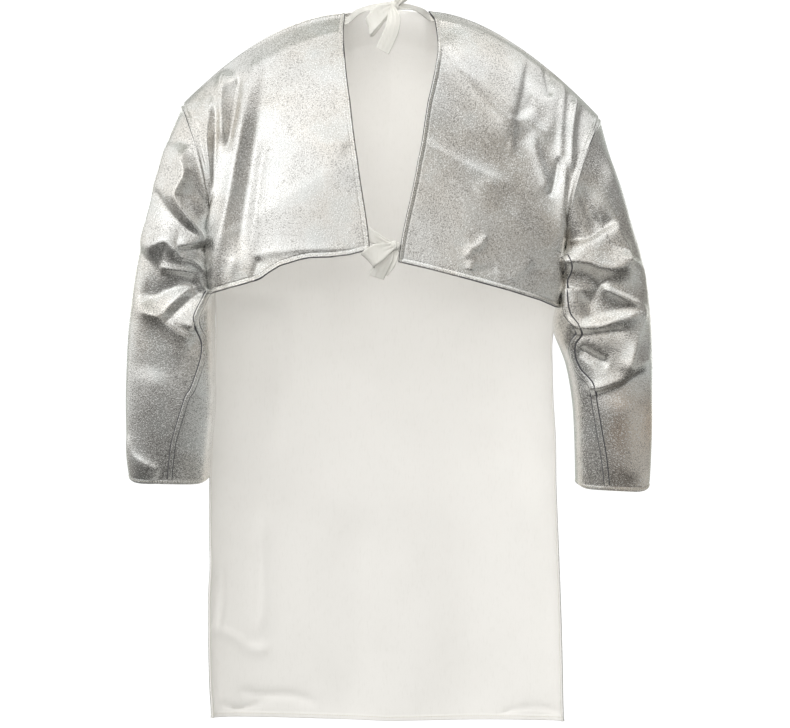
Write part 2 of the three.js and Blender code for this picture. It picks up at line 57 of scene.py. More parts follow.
# Cut of the coat, in millimetres, in rows of its panels and in sections of its sleeves
COAT_LENGTH = 1022
SEAM_GAP = 0.2
FRONT_NECK_DEPTH = 52
FRONT_NECK_RISE = 8
ARMHOLE_DEPTH = 82
ARMHOLE_BOW = 13
ROUND_DROP = 95
SHOULDER_DROP_MIX = 2
ROW_SPREAD = 1.35
HEM_WAVE_MIX = 4
BACK_FULLNESS = 3
FRONT_FULLNESS = 3
EDGE_CROWDING = 1.6
ARM_ROWS = 11
SEAM_ROWS = 4
SKIRT_ROWS = 14
SLEEVE_SETTLES = 1.6
SLEEVE_FLATNESS = 0.4
SLEEVE_GAP_ENDS = 1 / 3
FLAP = {"turn": 0.93, "hem_y": -60, "rows": (5.5, 9.5), "from": 0.5, "flare_power": 4}
PANEL_FOLD_FADE = {"side": 16, "rows": 2}
SLEEVE_FOLD_FADE = {"place": 1.0, "turned_away": -0.1, "turned_back": 0.6}
FOLD_END = {"outside": 0.12, "inside": 0.2}
HEM = {
    "crest": 1.6, "past": 0.5, "roll": 2.0, "ditch": 0.3, "ditch_width": 1.1, "inside": 0.3,
    "thins": (-0.8, 1.2),
}
SEAM = {"ditch_width": 1.5, "welt": 0.45, "welt_place": 4.2, "welt_width": 2}
# Width of the band along the back panels' free edges that gets the near-black edge material, painted shade of
# the hem edges, in millimetres
EDGE_SHADE_WIDTH = 1.3
FAR = 1000.0
SHORTEST = 1e-9
CUFF_LIFT = 0.3
CUFF_ROUND = {"rise": 8, "sharpness": 8, "length": 0.35}
FOLD_STEEPNESS = 1.5
LINE_STEPS = 4

# Small wrinkles between the folds: the size of each kind along x, y and z, and its share
WRINKLES = [((80, 80, 110), 1.1), ((38, 38, 56), 0.5), ((14, 14, 20), 0.1)]
WRINKLE_SEEDS = {"back": 11, "front": 23, "sleeve": 37}
LATTICE = 64

# Mesh counts, and the spans with closer points, in rows or sections or as a share of the width
BACK_GRID = {"rows": (112, 30), "hem_span": 0.7, "edge_columns": 20, "edge_share": 0.06, "columns": 96}
FRONT_GRID = {"rows": (104, 118, 12), "hem_span": 0.3, "neck_columns": 14, "columns": 58}
SLEEVE_GRID = {"rings": (16, 200, 20), "seam_span": 0.25, "cuff_span": 0.2, "columns": (120, 60)}
TAPE_GRID = {"steps": 12, "across": 11, "round": 40}
STITCH_SIDES = 5

# Numbers of a cloth's materials
OUTSIDE, INSIDE, EDGE = range(3)

# Corners of the panels on each side, from the middle outwards: the neck and the tip of the shoulder line, the
# armpit, the end of the side seam and of the opening, and how far the loose side stands off
SIDES = {
    "left": {
        "sign": -1, "neck_x": 62, "neck_z": -7, "tip_x": 292, "tip_z": -137, "ridge_power": 1.85,
        "pit_x": 249, "pit_z": -345, "hem_x": 248, "hem_z": -402, "open_hem_z": -346, "flare": 4,
    },
    "right": {
        "sign": 1, "neck_x": 56, "neck_z": -4, "tip_x": 298, "tip_z": -156, "ridge_power": 1.75,
        "pit_x": 245, "pit_z": -360, "hem_x": 242, "hem_z": -432, "open_hem_z": -363, "flare": -5,
    },
}


def table(columns, rows):
    """Short table with named columns."""
    values = np.array(rows, float)
    return {name: values[:, index] for index, name in enumerate(columns.split())}


# One stitch from end to end: share of its length, rise and girth in radii of the thread
STITCH_FORM = table("share rise girth", [(0, -0.6, 0.55), (0.25, 0.5, 1), (0.75, 0.5, 1), (1, -0.6, 0.55)])
STITCH_INSIDE = 1.6

# Opening edges of the back panels, from the neck down
OPENING_EDGE = {
    "left": table("z x y", [
        (-7, 62, 0), (-34, 64, -30), (-80, 61, -62), (-136, 54, -85), (-221, 43, -105), (-346, 26, -118),
    ]),
    "right": table("z x y", [
        (-4, 56, 0), (-17, 64, -22), (-49, 68, -45), (-80, 66, -62), (-140, 54, -86), (-221, 40, -105),
        (-363, 13, -118),
    ]),
}

# Hems of the back panels seen from behind, in pixels of the photograph's frame, from the opening to the side
HEM_LINE = {
    "left": table("x y", [
        (370, 249.5), (350, 255), (330, 257.5), (310, 258), (300, 260), (280, 266), (270, 272), (260, 279),
        (240, 285.5), (212, 293.5),
    ]),
    "right": table("x y", [
        (398, 262), (430, 269.5), (470, 280), (510, 291), (540, 300.5), (556, 307.5),
    ]),
}

# Middle line and free side edges of the front panel
FRONT_LINE = table("z y", [
    (3, FRONT_NECK_DEPTH), (-40, 84), (-110, 110), (-200, 122), (-330, 126), (-430, 124), (-700, 120),
    (-COAT_LENGTH, 116),
])
FREE_EDGE = {
    "left": table("z x y", [
        (-402, 248, 0), (-425, 247, 16), (-450, 247.5, 30), (-490, 250, 38), (-560, 253, 44), (-700, 257, 50),
        (-860, 255, 56), (-1012, 255, 60),
    ]),
    "right": table("z x y", [
        (-432, 242, 0), (-462, 233.5, 14), (-500, 233.5, 24), (-600, 238, 38), (-720, 242, 48),
        (-860, 247, 56), (-1017, 251, 60),
    ]),
}

# Sleeve sections, from the armhole to the cuff: outer and inner point seen from behind, middle, half depth
SECTION_COLUMNS = "out_x out_z in_x in_z mid_y depth"
SLEEVE_SECTIONS = {
    "left": table(SECTION_COLUMNS, [
        (292, -137, 249, -345, 0, 82), (309, -182, 249.5, -362, -1, 80), (327, -236, 248.5, -384, -4, 77),
        (342, -300, 246.5, -408, -8, 73), (357, -378, 246.5, -440, -10, 69), (367, -460, 246.5, -490, -8, 66),
        (372, -545, 246, -560, 2, 63), (371, -615, 252, -622, 14, 60), (368, -673, 257, -675, 26, 57),
    ]),
    "right": table(SECTION_COLUMNS, [
        (298, -156, 245, -360, 0, 82), (312, -210, 244.5, -378, -1, 80), (328, -258, 242, -400, -4, 77),
        (343, -312, 236, -425, -8, 73), (358, -365, 232.5, -456, -10, 69), (369, -440, 251, -505, -8, 66),
        (372, -530, 261, -560, 2, 63), (372, -610, 264, -620, 14, 60), (369, -686, 266, -681, 26, 57),
    ]),
}

# The photograph's frame: millimetres for one of its pixels at the shoulders, the pixel of the origin, and the
# camera's place in millimetres
PIXEL = 1.417
ORIGIN_PIXEL = (389, 8)
CAMERA_AWAY = 5000
CAMERA_X = 8.5
CAMERA_Z = -504.4

# Folds seen from behind: the crest line in pixels of the photograph's frame, its height in millimetres, its
# fall in millimetres to the left and right of the line's own direction, and how round its crest is, from 0,
# a crease, to 1, a soft roll
Fold = namedtuple("Fold", "line height left_fall right_fall round")
BACK_FOLDS = {
    "left": [
        Fold([(253, 66), (243, 120), (235, 170), (228, 210), (221, 245), (217, 285)], 9, 14, 22, 0.25),
        Fold([(265, 70), (257, 120), (250, 170), (243, 215), (239, 250)], -5, 20, 11, 0.4),
        Fold([(264, 140), (257, 195), (251, 250)], 2.5, 9, 9, 0.5),
        Fold([(227, 72), (222, 100), (223, 142)], 11, 10, 12, 0.2),
        Fold([(239, 76), (235, 108), (227, 148)], -8, 9, 10, 0.3),
        Fold([(212, 100), (207, 140), (211, 188)], 7, 6, 12, 0.2),
        Fold([(217, 110), (214, 150), (212, 190)], -5, 7, 5, 0.4),
        Fold([(204, 88), (196, 110), (194, 128)], 3, 8, 9, 0.5),
        Fold([(259, 258), (254, 272), (252, 286)], -4, 7, 6, 0.4),
        Fold([(236, 258), (231, 275), (230, 290)], 3, 7, 8, 0.5),
        Fold([(262, 253), (300, 249), (350, 248)], 2, 6, 7, 0.5),
        Fold([(345, 150), (325, 140), (300, 125)], 1.5, 14, 20, 0.7),
    ],
    "right": [
        Fold([(440, 42), (462, 72), (480, 95), (498, 114), (514, 134)], 8, 46, 24, 0.25),
        Fold([(524, 48), (521, 78), (518, 98), (512, 118), (500, 150)], 2.4, 6, 42, 0.3),
        Fold([(526, 68), (522, 92), (516, 112), (508, 138)], -1.4, 6, 5, 0.4),
        Fold([(514, 118), (512, 134), (511, 152)], 3, 6, 7, 0.5),
        Fold([(522, 118), (534, 128), (547, 132), (551, 112), (551, 80)], 6, 28, 15, 0.5),
        Fold([(545, 66), (547, 82), (549, 98)], -4, 5, 5, 0.3),
        Fold([(563, 80), (561, 120), (560, 168)], 4, 7, 8, 0.4),
        Fold([(576, 96), (572, 130), (572, 170)], 8, 6, 12, 0.25),
        Fold([(532, 138), (540, 165), (548, 190)], 4, 8, 14, 0.4),
        Fold([(559, 158), (555, 178), (551, 196)], -5, 6, 6, 0.35),
        Fold([(416, 138), (445, 155), (474, 170), (510, 186)], 2.5, 10, 40, 0.4),
        Fold([(476, 191), (484, 186), (494, 182)], 1, 6, 16, 0.6),
        Fold([(469, 258), (470, 250), (478, 246), (486, 236)], 4, 5, 7, 0.25),
        Fold([(470, 270), (471, 264), (475, 258)], 2, 5, 6, 0.3),
        Fold([(474, 270), (484, 271), (496, 268)], -1.5, 8, 9, 0.5),
        Fold([(510, 280), (520, 270), (532, 261)], 1.5, 8, 10, 0.5),
        Fold([(530, 266), (540, 270), (550, 268)], -1.5, 6, 9, 0.5),
        Fold([(566, 165), (563, 235), (558, 300)], 6, 5, 22, 0.3),
    ],
}
SLEEVE_FOLDS = {
    "left": [
        Fold([(187, 148), (185, 160), (187, 175), (179, 190), (178, 199), (190, 221), (202, 240)],
             19, 14, 30, 0.15),
        Fold([(190, 166), (199, 186), (210, 204)], 3, 3, 3, 0.3),
        Fold([(155, 190), (167, 207), (180, 222), (195, 237)], -6, 9, 16, 0.3),
        Fold([(148, 254), (158, 245), (168, 242), (176, 250), (184, 247), (202, 241)], 15, 34, 26, 0.15),
        Fold([(178, 250), (190, 249), (207, 247)], -6, 5, 8, 0.3),
        Fold([(160, 268), (175, 270), (194, 273)], 5, 10, 6, 0.3),
        Fold([(180, 257), (194, 262), (206, 275)], 3, 4, 4, 0.3),
        Fold([(140, 297), (152, 297), (165, 291), (175, 288), (198, 284)], -10.5, 25, 17, 0.2),
        Fold([(138, 302), (148, 311), (162, 314), (169, 307), (180, 296), (190, 287)], 9, 26, 11, 0.15),
        Fold([(166, 321), (178, 310), (190, 300), (206, 290)], -6, 10, 8, 0.3),
        Fold([(205, 297), (196, 316), (190, 330)], 7, 5, 18, 0.2),
        Fold([(140, 312), (158, 317), (170, 324), (180, 332), (192, 339)], 6, 7, 26, 0.2),
        Fold([(152, 372), (147, 420), (143, 474)], 3, 24, 26, 0.8),
        Fold([(204, 346), (202, 361), (193, 388), (187, 398), (180, 420), (170, 478)], 4, 26, 34, 0.3),
        Fold([(128, 436), (134, 454), (148, 464), (160, 469)], 3, 6, 34, 0.3),
    ],
    "right": [
        Fold([(558, 255), (575, 261), (590, 263), (602, 267), (613, 268), (624, 264), (630, 257)],
             18, 34, 34, 0.12),
        Fold([(614, 223), (622, 238), (628, 250), (627, 263)], 7, 6, 20, 0.2),
        Fold([(561, 241), (578, 240), (590, 237), (601, 230), (614, 223)], -9, 24, 7, 0.2),
        Fold([(576, 186), (584, 199), (590, 212), (597, 229)], -7, 14, 20, 0.3),
        Fold([(575, 266), (590, 278), (598, 288), (593, 299), (581, 306)], -10, 30, 32, 0.4),
        Fold([(602, 287), (614, 293), (626, 299), (642, 307)], 10, 9, 16, 0.15),
        Fold([(568, 317), (600, 316), (616, 312), (642, 308)], -5, 18, 14, 0.3),
        Fold([(568, 322), (582, 327), (600, 326), (613, 321), (628, 316), (643, 312)], 10, 16, 26, 0.15),
        Fold([(574, 334), (595, 333), (625, 330)], -6, 8, 12, 0.4),
        Fold([(643, 306), (636, 340), (626, 372)], 7, 8, 12, 0.3),
        Fold([(580, 350), (592, 357), (607, 364)], -7, 9, 6, 0.25),
        Fold([(590, 390), (605, 386), (622, 379), (636, 367), (648, 356)], 9, 26, 9, 0.15),
        Fold([(590, 394), (606, 391), (624, 384), (642, 370)], -5, 6, 14, 0.3),
        Fold([(591, 385), (595, 406), (600, 435), (607, 485)], 3, 26, 14, 0.5),
        Fold([(566, 258), (565, 300), (573, 325)], 4, 18, 10, 0.3),
        Fold([(626, 400), (628, 440), (626, 480)], 3, 22, 22, 0.8),
    ],
}
SLEEVE_FRONT_FOLDS = {
    "left": [
        Fold([(142, 311), (170, 318), (200, 327)], -6, 12, 16, 0.5),
        Fold([(138, 344), (170, 342), (204, 340)], 6, 14, 12, 0.6),
        Fold([(149, 364), (175, 370), (201, 375)], -5, 10, 14, 0.5),
        Fold([(177, 184), (170, 230), (163, 283)], 5, 18, 22, 0.8),
    ],
    "right": [
        Fold([(578, 340), (610, 332), (637, 324)], -6, 12, 16, 0.5),
        Fold([(575, 355), (610, 358), (642, 361)], 6, 14, 12, 0.6),
        Fold([(580, 389), (605, 382), (632, 376)], -5, 10, 14, 0.5),
        Fold([(601, 193), (608, 240), (615, 290)], 5, 18, 22, 0.8),
    ],
}
FRONT_FOLDS = [
    Fold([(280, 300), (282, 370), (279, 445)], 4, 10, 20, 0.5),
    Fold([(262, 515), (259, 570), (260, 630)], -4, 12, 10, 0.5),
    Fold([(219, 575), (216, 640), (220, 705)], 5, 10, 12, 0.5),
    Fold([(240, 690), (262, 694), (290, 694), (316, 702)], 4, 5, 8, 0.3),
    Fold([(214, 628), (234, 636), (250, 648), (268, 648)], -4, 6, 9, 0.4),
    Fold([(220, 703), (238, 709), (264, 701)], 3.5, 4, 6, 0.3),
    Fold([(222, 570), (223, 600), (219, 632)], -3, 4, 4, 0.4),
    Fold([(257, 545), (259, 580), (258, 618)], 3, 3, 6, 0.4),
    Fold([(502, 713), (520, 708), (540, 706), (560, 712)], 2.5, 3, 4, 0.3),
    Fold([(457, 403), (465, 560), (467, 722)], 5, 30, 34, 0.9),
    Fold([(523, 460), (530, 600), (533, 722)], -6, 22, 26, 0.9),
    Fold([(361, 516), (356, 620), (352, 722)], 5, 30, 30, 0.9),
]

# Felled seams of the sleeves, seen from behind, and the strip on them: places across it and their lift
SLEEVE_SEAMS = {
    "left": [
        (208, 292), (202, 304), (196, 318), (198, 328), (202, 337), (204, 346), (202, 361), (193, 388),
        (187, 398), (180, 420), (173, 446), (169.5, 479),
    ],
    "right": [
        (565, 256), (569, 264), (568, 272), (565, 280), (565, 300), (568, 315), (576, 326), (579, 334),
        (573, 343), (573, 357), (579, 371), (591, 385), (595, 406), (600, 435), (604, 458), (607, 485),
    ],
}
SEAM_STRIP = table("across lift", [
    (-5.0, -0.4), (-3.0, 1.3), (-1.5, 1.8), (0, 1.4), (1.5, 1.8), (3.0, 1.3), (5.0, -0.4),
])
# From this place across outwards the strip gets the near-black edge material: painted shadow lines of the
# seam's grooves
SEAM_STRIP_EDGE = 3.0
SEAM_STRIP_WIDTH = {"left": (1.1, 0.85), "right": (1.25, 1.0)}
SEAM_STRIP_STEPS = 8
NEAR_PIXELS = 1.4
SEAM_FACING = -0.15

# Tie tapes: path points, and the direction of the tape's width, turned from +Z to +X and tipped towards +Y
TAPE_COLUMNS = "x y z turn tip wide"
NECK_BOW = {
    "knot": (6, -62, -3),
    "left_strap": table(TAPE_COLUMNS, [
        (-75.8, -5.3, -18.9, 0, 47, 18), (-66.8, -6.3, -18.5, 0, 47, 18), (-57.8, -7.3, -17.5, 0, 52, 19),
        (-46, -29, -9.5, -14, 62, 21), (-32, -49, -5.5, -8, 66, 21), (-12, -60, -4, 0, 46, 15),
        (6, -62, -3, 0, 10, 9),
    ]),
    "left_loop": table(TAPE_COLUMNS, [
        (6, -64, -3, -40, 0, 9), (-6, -71, -10, -30, 0, 19), (-18, -77, -21, -18, 0, 25),
        (-28, -74, -33, -14, 0, 25), (-25, -66, -34, -24, 0, 24), (-12, -63, -19, -34, 0, 19),
        (4, -61, -4, -45, 0, 9),
    ]),
    "left_tail": table(TAPE_COLUMNS, [
        (3, -65, -4, 84, 0, 9), (7, -74, -18, 90, 10, 18), (5, -80, -36, 102, 18, 21),
        (-2, -80, -53, 112, 10, 21), (-9, -77, -68, 118, 4, 20),
    ]),
    "right_strap": table(TAPE_COLUMNS, [
        (75.7, -7, -15.6, 0, 45, 18), (67.7, -7.5, -14.2, 0, 45, 18), (56.7, -8.5, -13.2, 0, 50, 19),
        (45, -30, -7.5, 18, 62, 21), (31, -47, -4, 8, 66, 20), (18, -55, -3, 0, 46, 14),
        (7, -57.6, -3, 0, 10, 11),
    ]),
    "right_loop": table(TAPE_COLUMNS, [
        (11, -60, 0, -55, 0, 9), (17, -57, 9, -48, 0, 17), (26, -60, 18, -45, 0, 20),
        (30, -66, 22, -45, 0, 20), (25, -71, 17, -46, 0, 19), (16, -69, 8, -50, 0, 15),
        (11, -65, 0, -55, 0, 9),
    ]),
}
BACK_BOW = {
    "knot": (7, -126, -341),
    "left_strap": table(TAPE_COLUMNS, [
        (-40, -113.6, -322, -12, 5, 23), (-28, -113.8, -325, -14, 5, 24), (-16, -118, -331, -20, -2, 23),
        (-4, -125, -337, -16, 0, 14), (7, -126, -341, 0, 0, 9),
    ]),
    "left_loop": table(TAPE_COLUMNS, [
        (7, -128, -341, -40, 0, 9), (-5, -135, -346, -30, 0, 19), (-17, -141, -352, -32, 0, 26),
        (-28, -138, -360, -42, 0, 26), (-26, -130, -362, -44, 0, 25), (-12, -128, -352, -36, 0, 18),
        (6, -126, -341, -40, 0, 9),
    ]),
    "left_tail": table(TAPE_COLUMNS, [
        (3, -126, -343, 110, 0, 8), (-3, -129, -357, 114, 8, 19), (-11, -130, -371, 112, 10, 22),
        (-17, -127, -385, 108, 6, 21),
    ]),
    "right_strap": table(TAPE_COLUMNS, [
        (34, -113.6, -349, 4, 5, 20), (24, -113.8, -347, 6, 5, 19), (18, -114.7, -345, 6, 2, 15),
        (13, -118.4, -342, 0, 0, 12), (7, -121.6, -341, 0, 0, 10),
    ]),
    "right_loop": table(TAPE_COLUMNS, [
        (9, -124, -344, 100, 0, 9), (3, -122, -355, 104, -20, 21), (-3, -121, -366, 114, -30, 25),
        (-12, -119, -377, 122, -30, 25),
    ]),
}
FULL_TAPE = 24
TAPE_FORM = {"pleat": 2.4, "pleats": 3, "curl": 0.9}

# Wraps of the knots: the left tape makes the core, and the right one goes round it
WRAPS = {
    "left": {"wide": 8.5, "tall": 5.2, "deep": 3.2, "ripple": 0.1},
    "right": {"wide": 4.2, "tall": 7.2, "deep": 5.0, "ripple": 0.08},
}
WRAP_HOLLOW = 0.18
WRAP_SLANT = 0.6


def length_property(name, description, default, low=0.0, high=10.0):
    return bpy.props.FloatProperty(
        name=name, description=description, default=default, min=low, max=high, unit="LENGTH",
    )


def colour_property(name, description, default):
    return bpy.props.FloatVectorProperty(
        name=name, description=description, default=default, subtype="COLOR", size=3, min=0, max=1,
    )


class CoatSizes(bpy.types.PropertyGroup):
    """Sizes of the cloth, the hems and the thread."""

    wall: length_property("Cloth wall", "Thickness of the laminated cloth", 1.4 * MM, 0.5 * MM, 3 * MM)
    hem_width: length_property("Hem width", "Width of the turned hems", 7 * MM, 4 * MM, 20 * MM)
    hem_lift: length_property("Hem lift", "How far a rolled hem stands out", 1.8 * MM, 0, 4 * MM)
    seam_ditch: length_property("Seam ditch", "How deep the armhole seams pull in", 1.7 * MM, 0, 4 * MM)
    wrinkle: length_property("Wrinkles", "Height of the wrinkles between the folds", 1.0 * MM, 0, 4 * MM)
    stitch: length_property("Stitch length", "Length of one stitch", 2.8 * MM, 1 * MM, 6 * MM)
    stitch_gap: length_property("Stitch gap", "Cloth between two stitches", 0.8 * MM, 0.2 * MM, 3 * MM)
    thread: length_property("Thread", "Thickness of the sewing thread", 0.55 * MM, 0.2 * MM, 1.5 * MM)
    tape_wall: length_property("Tape wall", "Thickness of the tie tapes", 0.9 * MM, 0.3 * MM, 2 * MM)


class CoatColours(bpy.types.PropertyGroup):
    """Colours of the cloth, the tapes and the thread."""

    foil: colour_property("Foil", "Aluminised face of the cloth", (0.78, 0.775, 0.757))
    foil_warm: colour_property("Foil, warm", "Warm tint of the aluminised face", (0.76, 0.725, 0.67))
    foil_cool: colour_property("Foil, cool", "Cool tint of the aluminised face", (0.66, 0.70, 0.695))
    foil_pit: colour_property("Foil, pits", "Dull grain of the aluminised face", (0.40, 0.395, 0.38))
    # Painted reflection: a brown tint on the right forearm that stands in for the warm room it reflects
    foil_warm_reflection: colour_property("Foil, stain", "Brown tint of the right cuff end", (0.76, 0.62, 0.50))
    # Partly painted highlight: bright grain of the foil that also paints the glints on the crests of its
    # crinkled relief
    foil_spark: colour_property("Foil, sparks", "Bright grain of the aluminised face", (0.97, 0.97, 0.96))
    # Painted shade: near-black colour for the back panels' edges and rims and the seam strips' edges, standing
    # in for shadowed hem edges and seam grooves
    cut_edge: colour_property("Cut edge", "Edge of the laminated cloth", (0.10, 0.10, 0.11))
    backing: colour_property("Backing", "Woven inner face of the cloth", (0.90, 0.885, 0.855))
    # Mixed in for dark slubs and patches of the backing, and as painted shade in the hollows between its
    # threads
    backing_shade: colour_property("Backing, shade", "Darker threads of the inner face", (0.82, 0.805, 0.77))
    # Painted shade: greyer than the off-white cotton of the tapes, for the shade the bows hang in
    tape: colour_property("Tape", "Cotton tie tapes", (0.66, 0.65, 0.61))
    # Mixed in for dark slubs and patches of the tapes, and as painted shade in the hollows between their
    # threads
    tape_shade: colour_property("Tape, shade", "Darker threads of the tie tapes", (0.55, 0.535, 0.48))
    thread: colour_property("Thread", "Sewing thread", (0.86, 0.83, 0.70))
    floor: colour_property("Floor", "Studio floor", (0.62, 0.615, 0.60))


class CoatStage(bpy.types.PropertyGroup):
    """Camera, floor and lights."""

    camera_away: length_property("Camera distance", "From the camera to the coat", CAMERA_AWAY * MM)
    camera_side: length_property("Camera side", "Camera to the right of the coat's middle", CAMERA_X * MM)
    camera_drop: length_property("Camera drop", "Camera below the shoulders", -CAMERA_Z * MM)
    frame_width: length_property("Frame width", "Width of the view at the coat", 1.1194)
    floor_drop: length_property("Floor drop", "Floor below the shoulders", 1.45)
    floor_radius: length_property("Floor radius", "Radius of the studio floor", 0.65)
    room: colour_property("Room", "Light from the dim parts of the room", (0.29, 0.284, 0.272))
    low_glow: colour_property("Low glow", "Light from the low right of the room", (0.52, 0.53, 0.515))
    under_glow: colour_property("Under glow", "Light from below the coat", (0.11, 0.108, 0.103))
    face_glow: colour_property("Face glow", "Light from behind the camera", (0.46, 0.442, 0.412))
    left_glow: colour_property("Left glow", "Light from the left of the room", (1.0, 1.0, 0.985))
    top_glow: colour_property("Top glow", "Light from above, on the right", (1.0, 1.0, 0.99))
    ceiling: colour_property("Ceiling", "Light from overhead and from the far side", (0.50, 0.515, 0.48))
    background: colour_property("Background", "Plain background behind the coat", (1, 1, 1))
    strength: bpy.props.FloatProperty(
        name="Room strength", description="Strength of the room's light", default=1.12, min=0, max=5,
    )


# Curves and noise

def lerp(start, end, share):
    return start + (end - start) * share


def smoothstep(value, low, high):
    share = np.clip((value - low) / (high - low), 0, 1)
    return share * share * (3 - 2 * share)


def along(rows, column, place):
    """Smooth value of one column of a table at places along it, counted in rows."""
    values = rows[column]
    last = len(values) - 1
    row = np.clip(np.floor(place).astype(int), 0, last - 1)
    t = place - row
    here = values[row]
    there = values[row + 1]
    before = (there - values[np.clip(row - 1, 0, last)]) / 2
    after = (values[np.clip(row + 2, 0, last)] - here) / 2
    square = t * t
    cube = square * t
    return ((2 * cube - 3 * square + 1) * here + (cube - 2 * square + t) * before
            + (3 * square - 2 * cube) * there + (cube - square) * after)


def place_at_height(rows, z):
    """Places along a table whose z falls from row to row."""
    return np.interp(-z, -rows["z"], np.arange(len(rows["z"])))


def stations(stops, counts, to_end=True):
    """Places from stop to stop, that many in each span, with or without the last stop."""
    spans = []
    for index, count in enumerate(counts):
        ends = to_end and index == len(counts) - 1
        spans.append(np.linspace(stops[index], stops[index + 1], count, endpoint=ends))
    return np.concatenate(spans)


def column_shares(start, first, rest):
    """Shares across a panel: even up to a start, then closer together towards its side edge."""
    even = np.linspace(0, start, first, endpoint=False)
    crowded = 1 - (1 - np.linspace(0, 1, rest)) ** EDGE_CROWDING
    return np.concatenate([even, lerp(start, 1, crowded)])[None, :]


def wander(points, size, seed):
    """Smooth noise from -1 to 1 in space, with features of one size, or one size for each axis."""
    lattice = np.random.default_rng(seed).uniform(-1, 1, (LATTICE, LATTICE, LATTICE))
    scaled = points / np.asarray(size, float)
    low = np.floor(scaled).astype(int)
    part = scaled - low
    part = part * part * (3 - 2 * part)
    total = np.zeros(points.shape[:-1])
    for corner in np.ndindex(2, 2, 2):
        index = (low + corner) % LATTICE
        weight = np.where(corner, part, 1 - part).prod(-1)
        total += weight * lattice[index[..., 0], index[..., 1], index[..., 2]]
    return total


def unit(vectors):
    return vectors / np.maximum(np.linalg.norm(vectors, axis=-1, keepdims=True), SHORTEST)


# Grids of points: rows down, columns across

def grid_normals(grid, sign, closed=False):
    """Normals of a grid, or of a ring of columns if it is closed."""
    if closed:
        across = np.roll(grid, -1, axis=1) - np.roll(grid, 1, axis=1)
    else:
        across = np.gradient(grid, axis=1)
    return sign * unit(np.cross(across, np.gradient(grid, axis=0)))


def edge_distance(grid, axis, from_end):
    """Distance along the grid lines from one edge of the grid."""
    steps = np.linalg.norm(np.diff(grid, axis=axis), axis=-1)
    if from_end:
        steps = np.flip(steps, axis)
    run = np.cumsum(steps, axis=axis)
    run = np.concatenate([np.zeros_like(np.take(run, [0], axis)), run], axis)
    return np.flip(run, axis) if from_end else run


def seen_from_behind(points):
    """Places of points in the photograph's frame, in its pixels."""
    nearer = CAMERA_AWAY / (CAMERA_AWAY + points[..., 1])
    x = CAMERA_X + (points[..., 0] - CAMERA_X) * nearer
    z = CAMERA_Z + (points[..., 2] - CAMERA_Z) * nearer
    return np.stack([ORIGIN_PIXEL[0] + x / PIXEL, ORIGIN_PIXEL[1] - z / PIXEL], -1)


def from_behind(places, y):
    """Points at places in the photograph's frame, at depths y."""
    nearer = CAMERA_AWAY / (CAMERA_AWAY + y)
    x = CAMERA_X + ((places[..., 0] - ORIGIN_PIXEL[0]) * PIXEL - CAMERA_X) / nearer
    z = CAMERA_Z + ((ORIGIN_PIXEL[1] - places[..., 1]) * PIXEL - CAMERA_Z) / nearer
    return np.stack([x, y, z], -1)


def on_cloth(grid, normals, places):
    """Points of the cloth, and its normals, at places in the photograph's frame."""
    turned = normals[..., 1] < SEAM_FACING
    shown = seen_from_behind(grid[turned])
    gaps = ((places.reshape(-1, 1, 2) - shown[None]) ** 2).sum(-1)
    weights = np.exp(-(gaps - gaps.min(1, keepdims=True)) / (2 * NEAR_PIXELS ** 2))
    weights /= weights.sum(1, keepdims=True)
    y = (weights @ grid[turned][:, 1]).reshape(places.shape[:-1])
    facing = (weights @ normals[turned]).reshape(*places.shape[:-1], 3)
    return from_behind(places, y), unit(facing)


def hem_height(line, points):
    """Heights of points that put them on a line of the photograph's frame, straight below where they are."""
    x = seen_from_behind(points)[:, 0]
    order = np.argsort(line["x"])
    y = np.interp(x, line["x"][order], line["y"][order])
    return from_behind(np.stack([x, y], -1), points[:, 1])[:, 2]


def smooth_line(points, steps=LINE_STEPS):
    """Closer points on a smooth curve through a line's points."""
    rows = table("x y", points)
    place = np.linspace(0, len(points) - 1, steps * (len(points) - 1) + 1)
    return np.stack([along(rows, "x", place), along(rows, "y", place)], -1)


def off_line(line, places):
    """Distance in millimetres from a line in the frame, more than 0 to its left, and the share along it."""
    nearest = np.full(places.shape[:-1], np.inf)
    off = np.zeros_like(nearest)
    share = np.zeros_like(nearest)
    for index in range(len(line) - 1):
        run = line[index + 1] - line[index]
        length = np.hypot(*run)
        gap = places - line[index]
        at = (gap @ run) / length ** 2
        low = -np.inf if index == 0 else 0
        high = np.inf if index == len(line) - 2 else 1
        held = np.clip(at, low, high)
        away = np.hypot(*np.moveaxis(gap - held[..., None] * run, -1, 0))
        closer = away < nearest
        side = np.sign(gap[..., 0] * run[1] - gap[..., 1] * run[0])
        nearest = np.where(closer, away, nearest)
        off = np.where(closer, side * away * PIXEL, off)
        share = np.where(closer, (index + held) / (len(line) - 1), share)
    return off, share


def fold_height(folds, points):
    """Height of the folds at points of the cloth."""
    places = seen_from_behind(points)
    total = np.zeros(places.shape[:-1])
    for fold in folds:
        off, share = off_line(smooth_line(fold.line), places)
        reach = np.abs(off) / np.where(off > 0, fold.left_fall, fold.right_fall)
        crest = np.sqrt(reach ** 2 + fold.round ** 2) - fold.round
        ends = smoothstep(share, -FOLD_END["outside"], FOLD_END["inside"])
        ends *= smoothstep(1 - share, -FOLD_END["outside"], FOLD_END["inside"])
        total += fold.height * ends * np.exp(-FOLD_STEEPNESS * crest)
    return total


def hem_shape(distance, sizes, full):
    """How far a rolled hem moves the outer face, by the distance from the edge and how full the roll is."""
    width = sizes.hem_width / MM
    lift = full * sizes.hem_lift / MM * (1 - smoothstep(distance, HEM["crest"], width + HEM["past"]))
    roll = 1 - np.clip(distance / HEM["roll"], 0, 1)
    ditch = HEM["ditch"] * np.exp(-((distance - width) / HEM["ditch_width"]) ** 2)
    return lift - ditch - HEM["roll"] * (1 - np.sqrt(1 - roll ** 2))


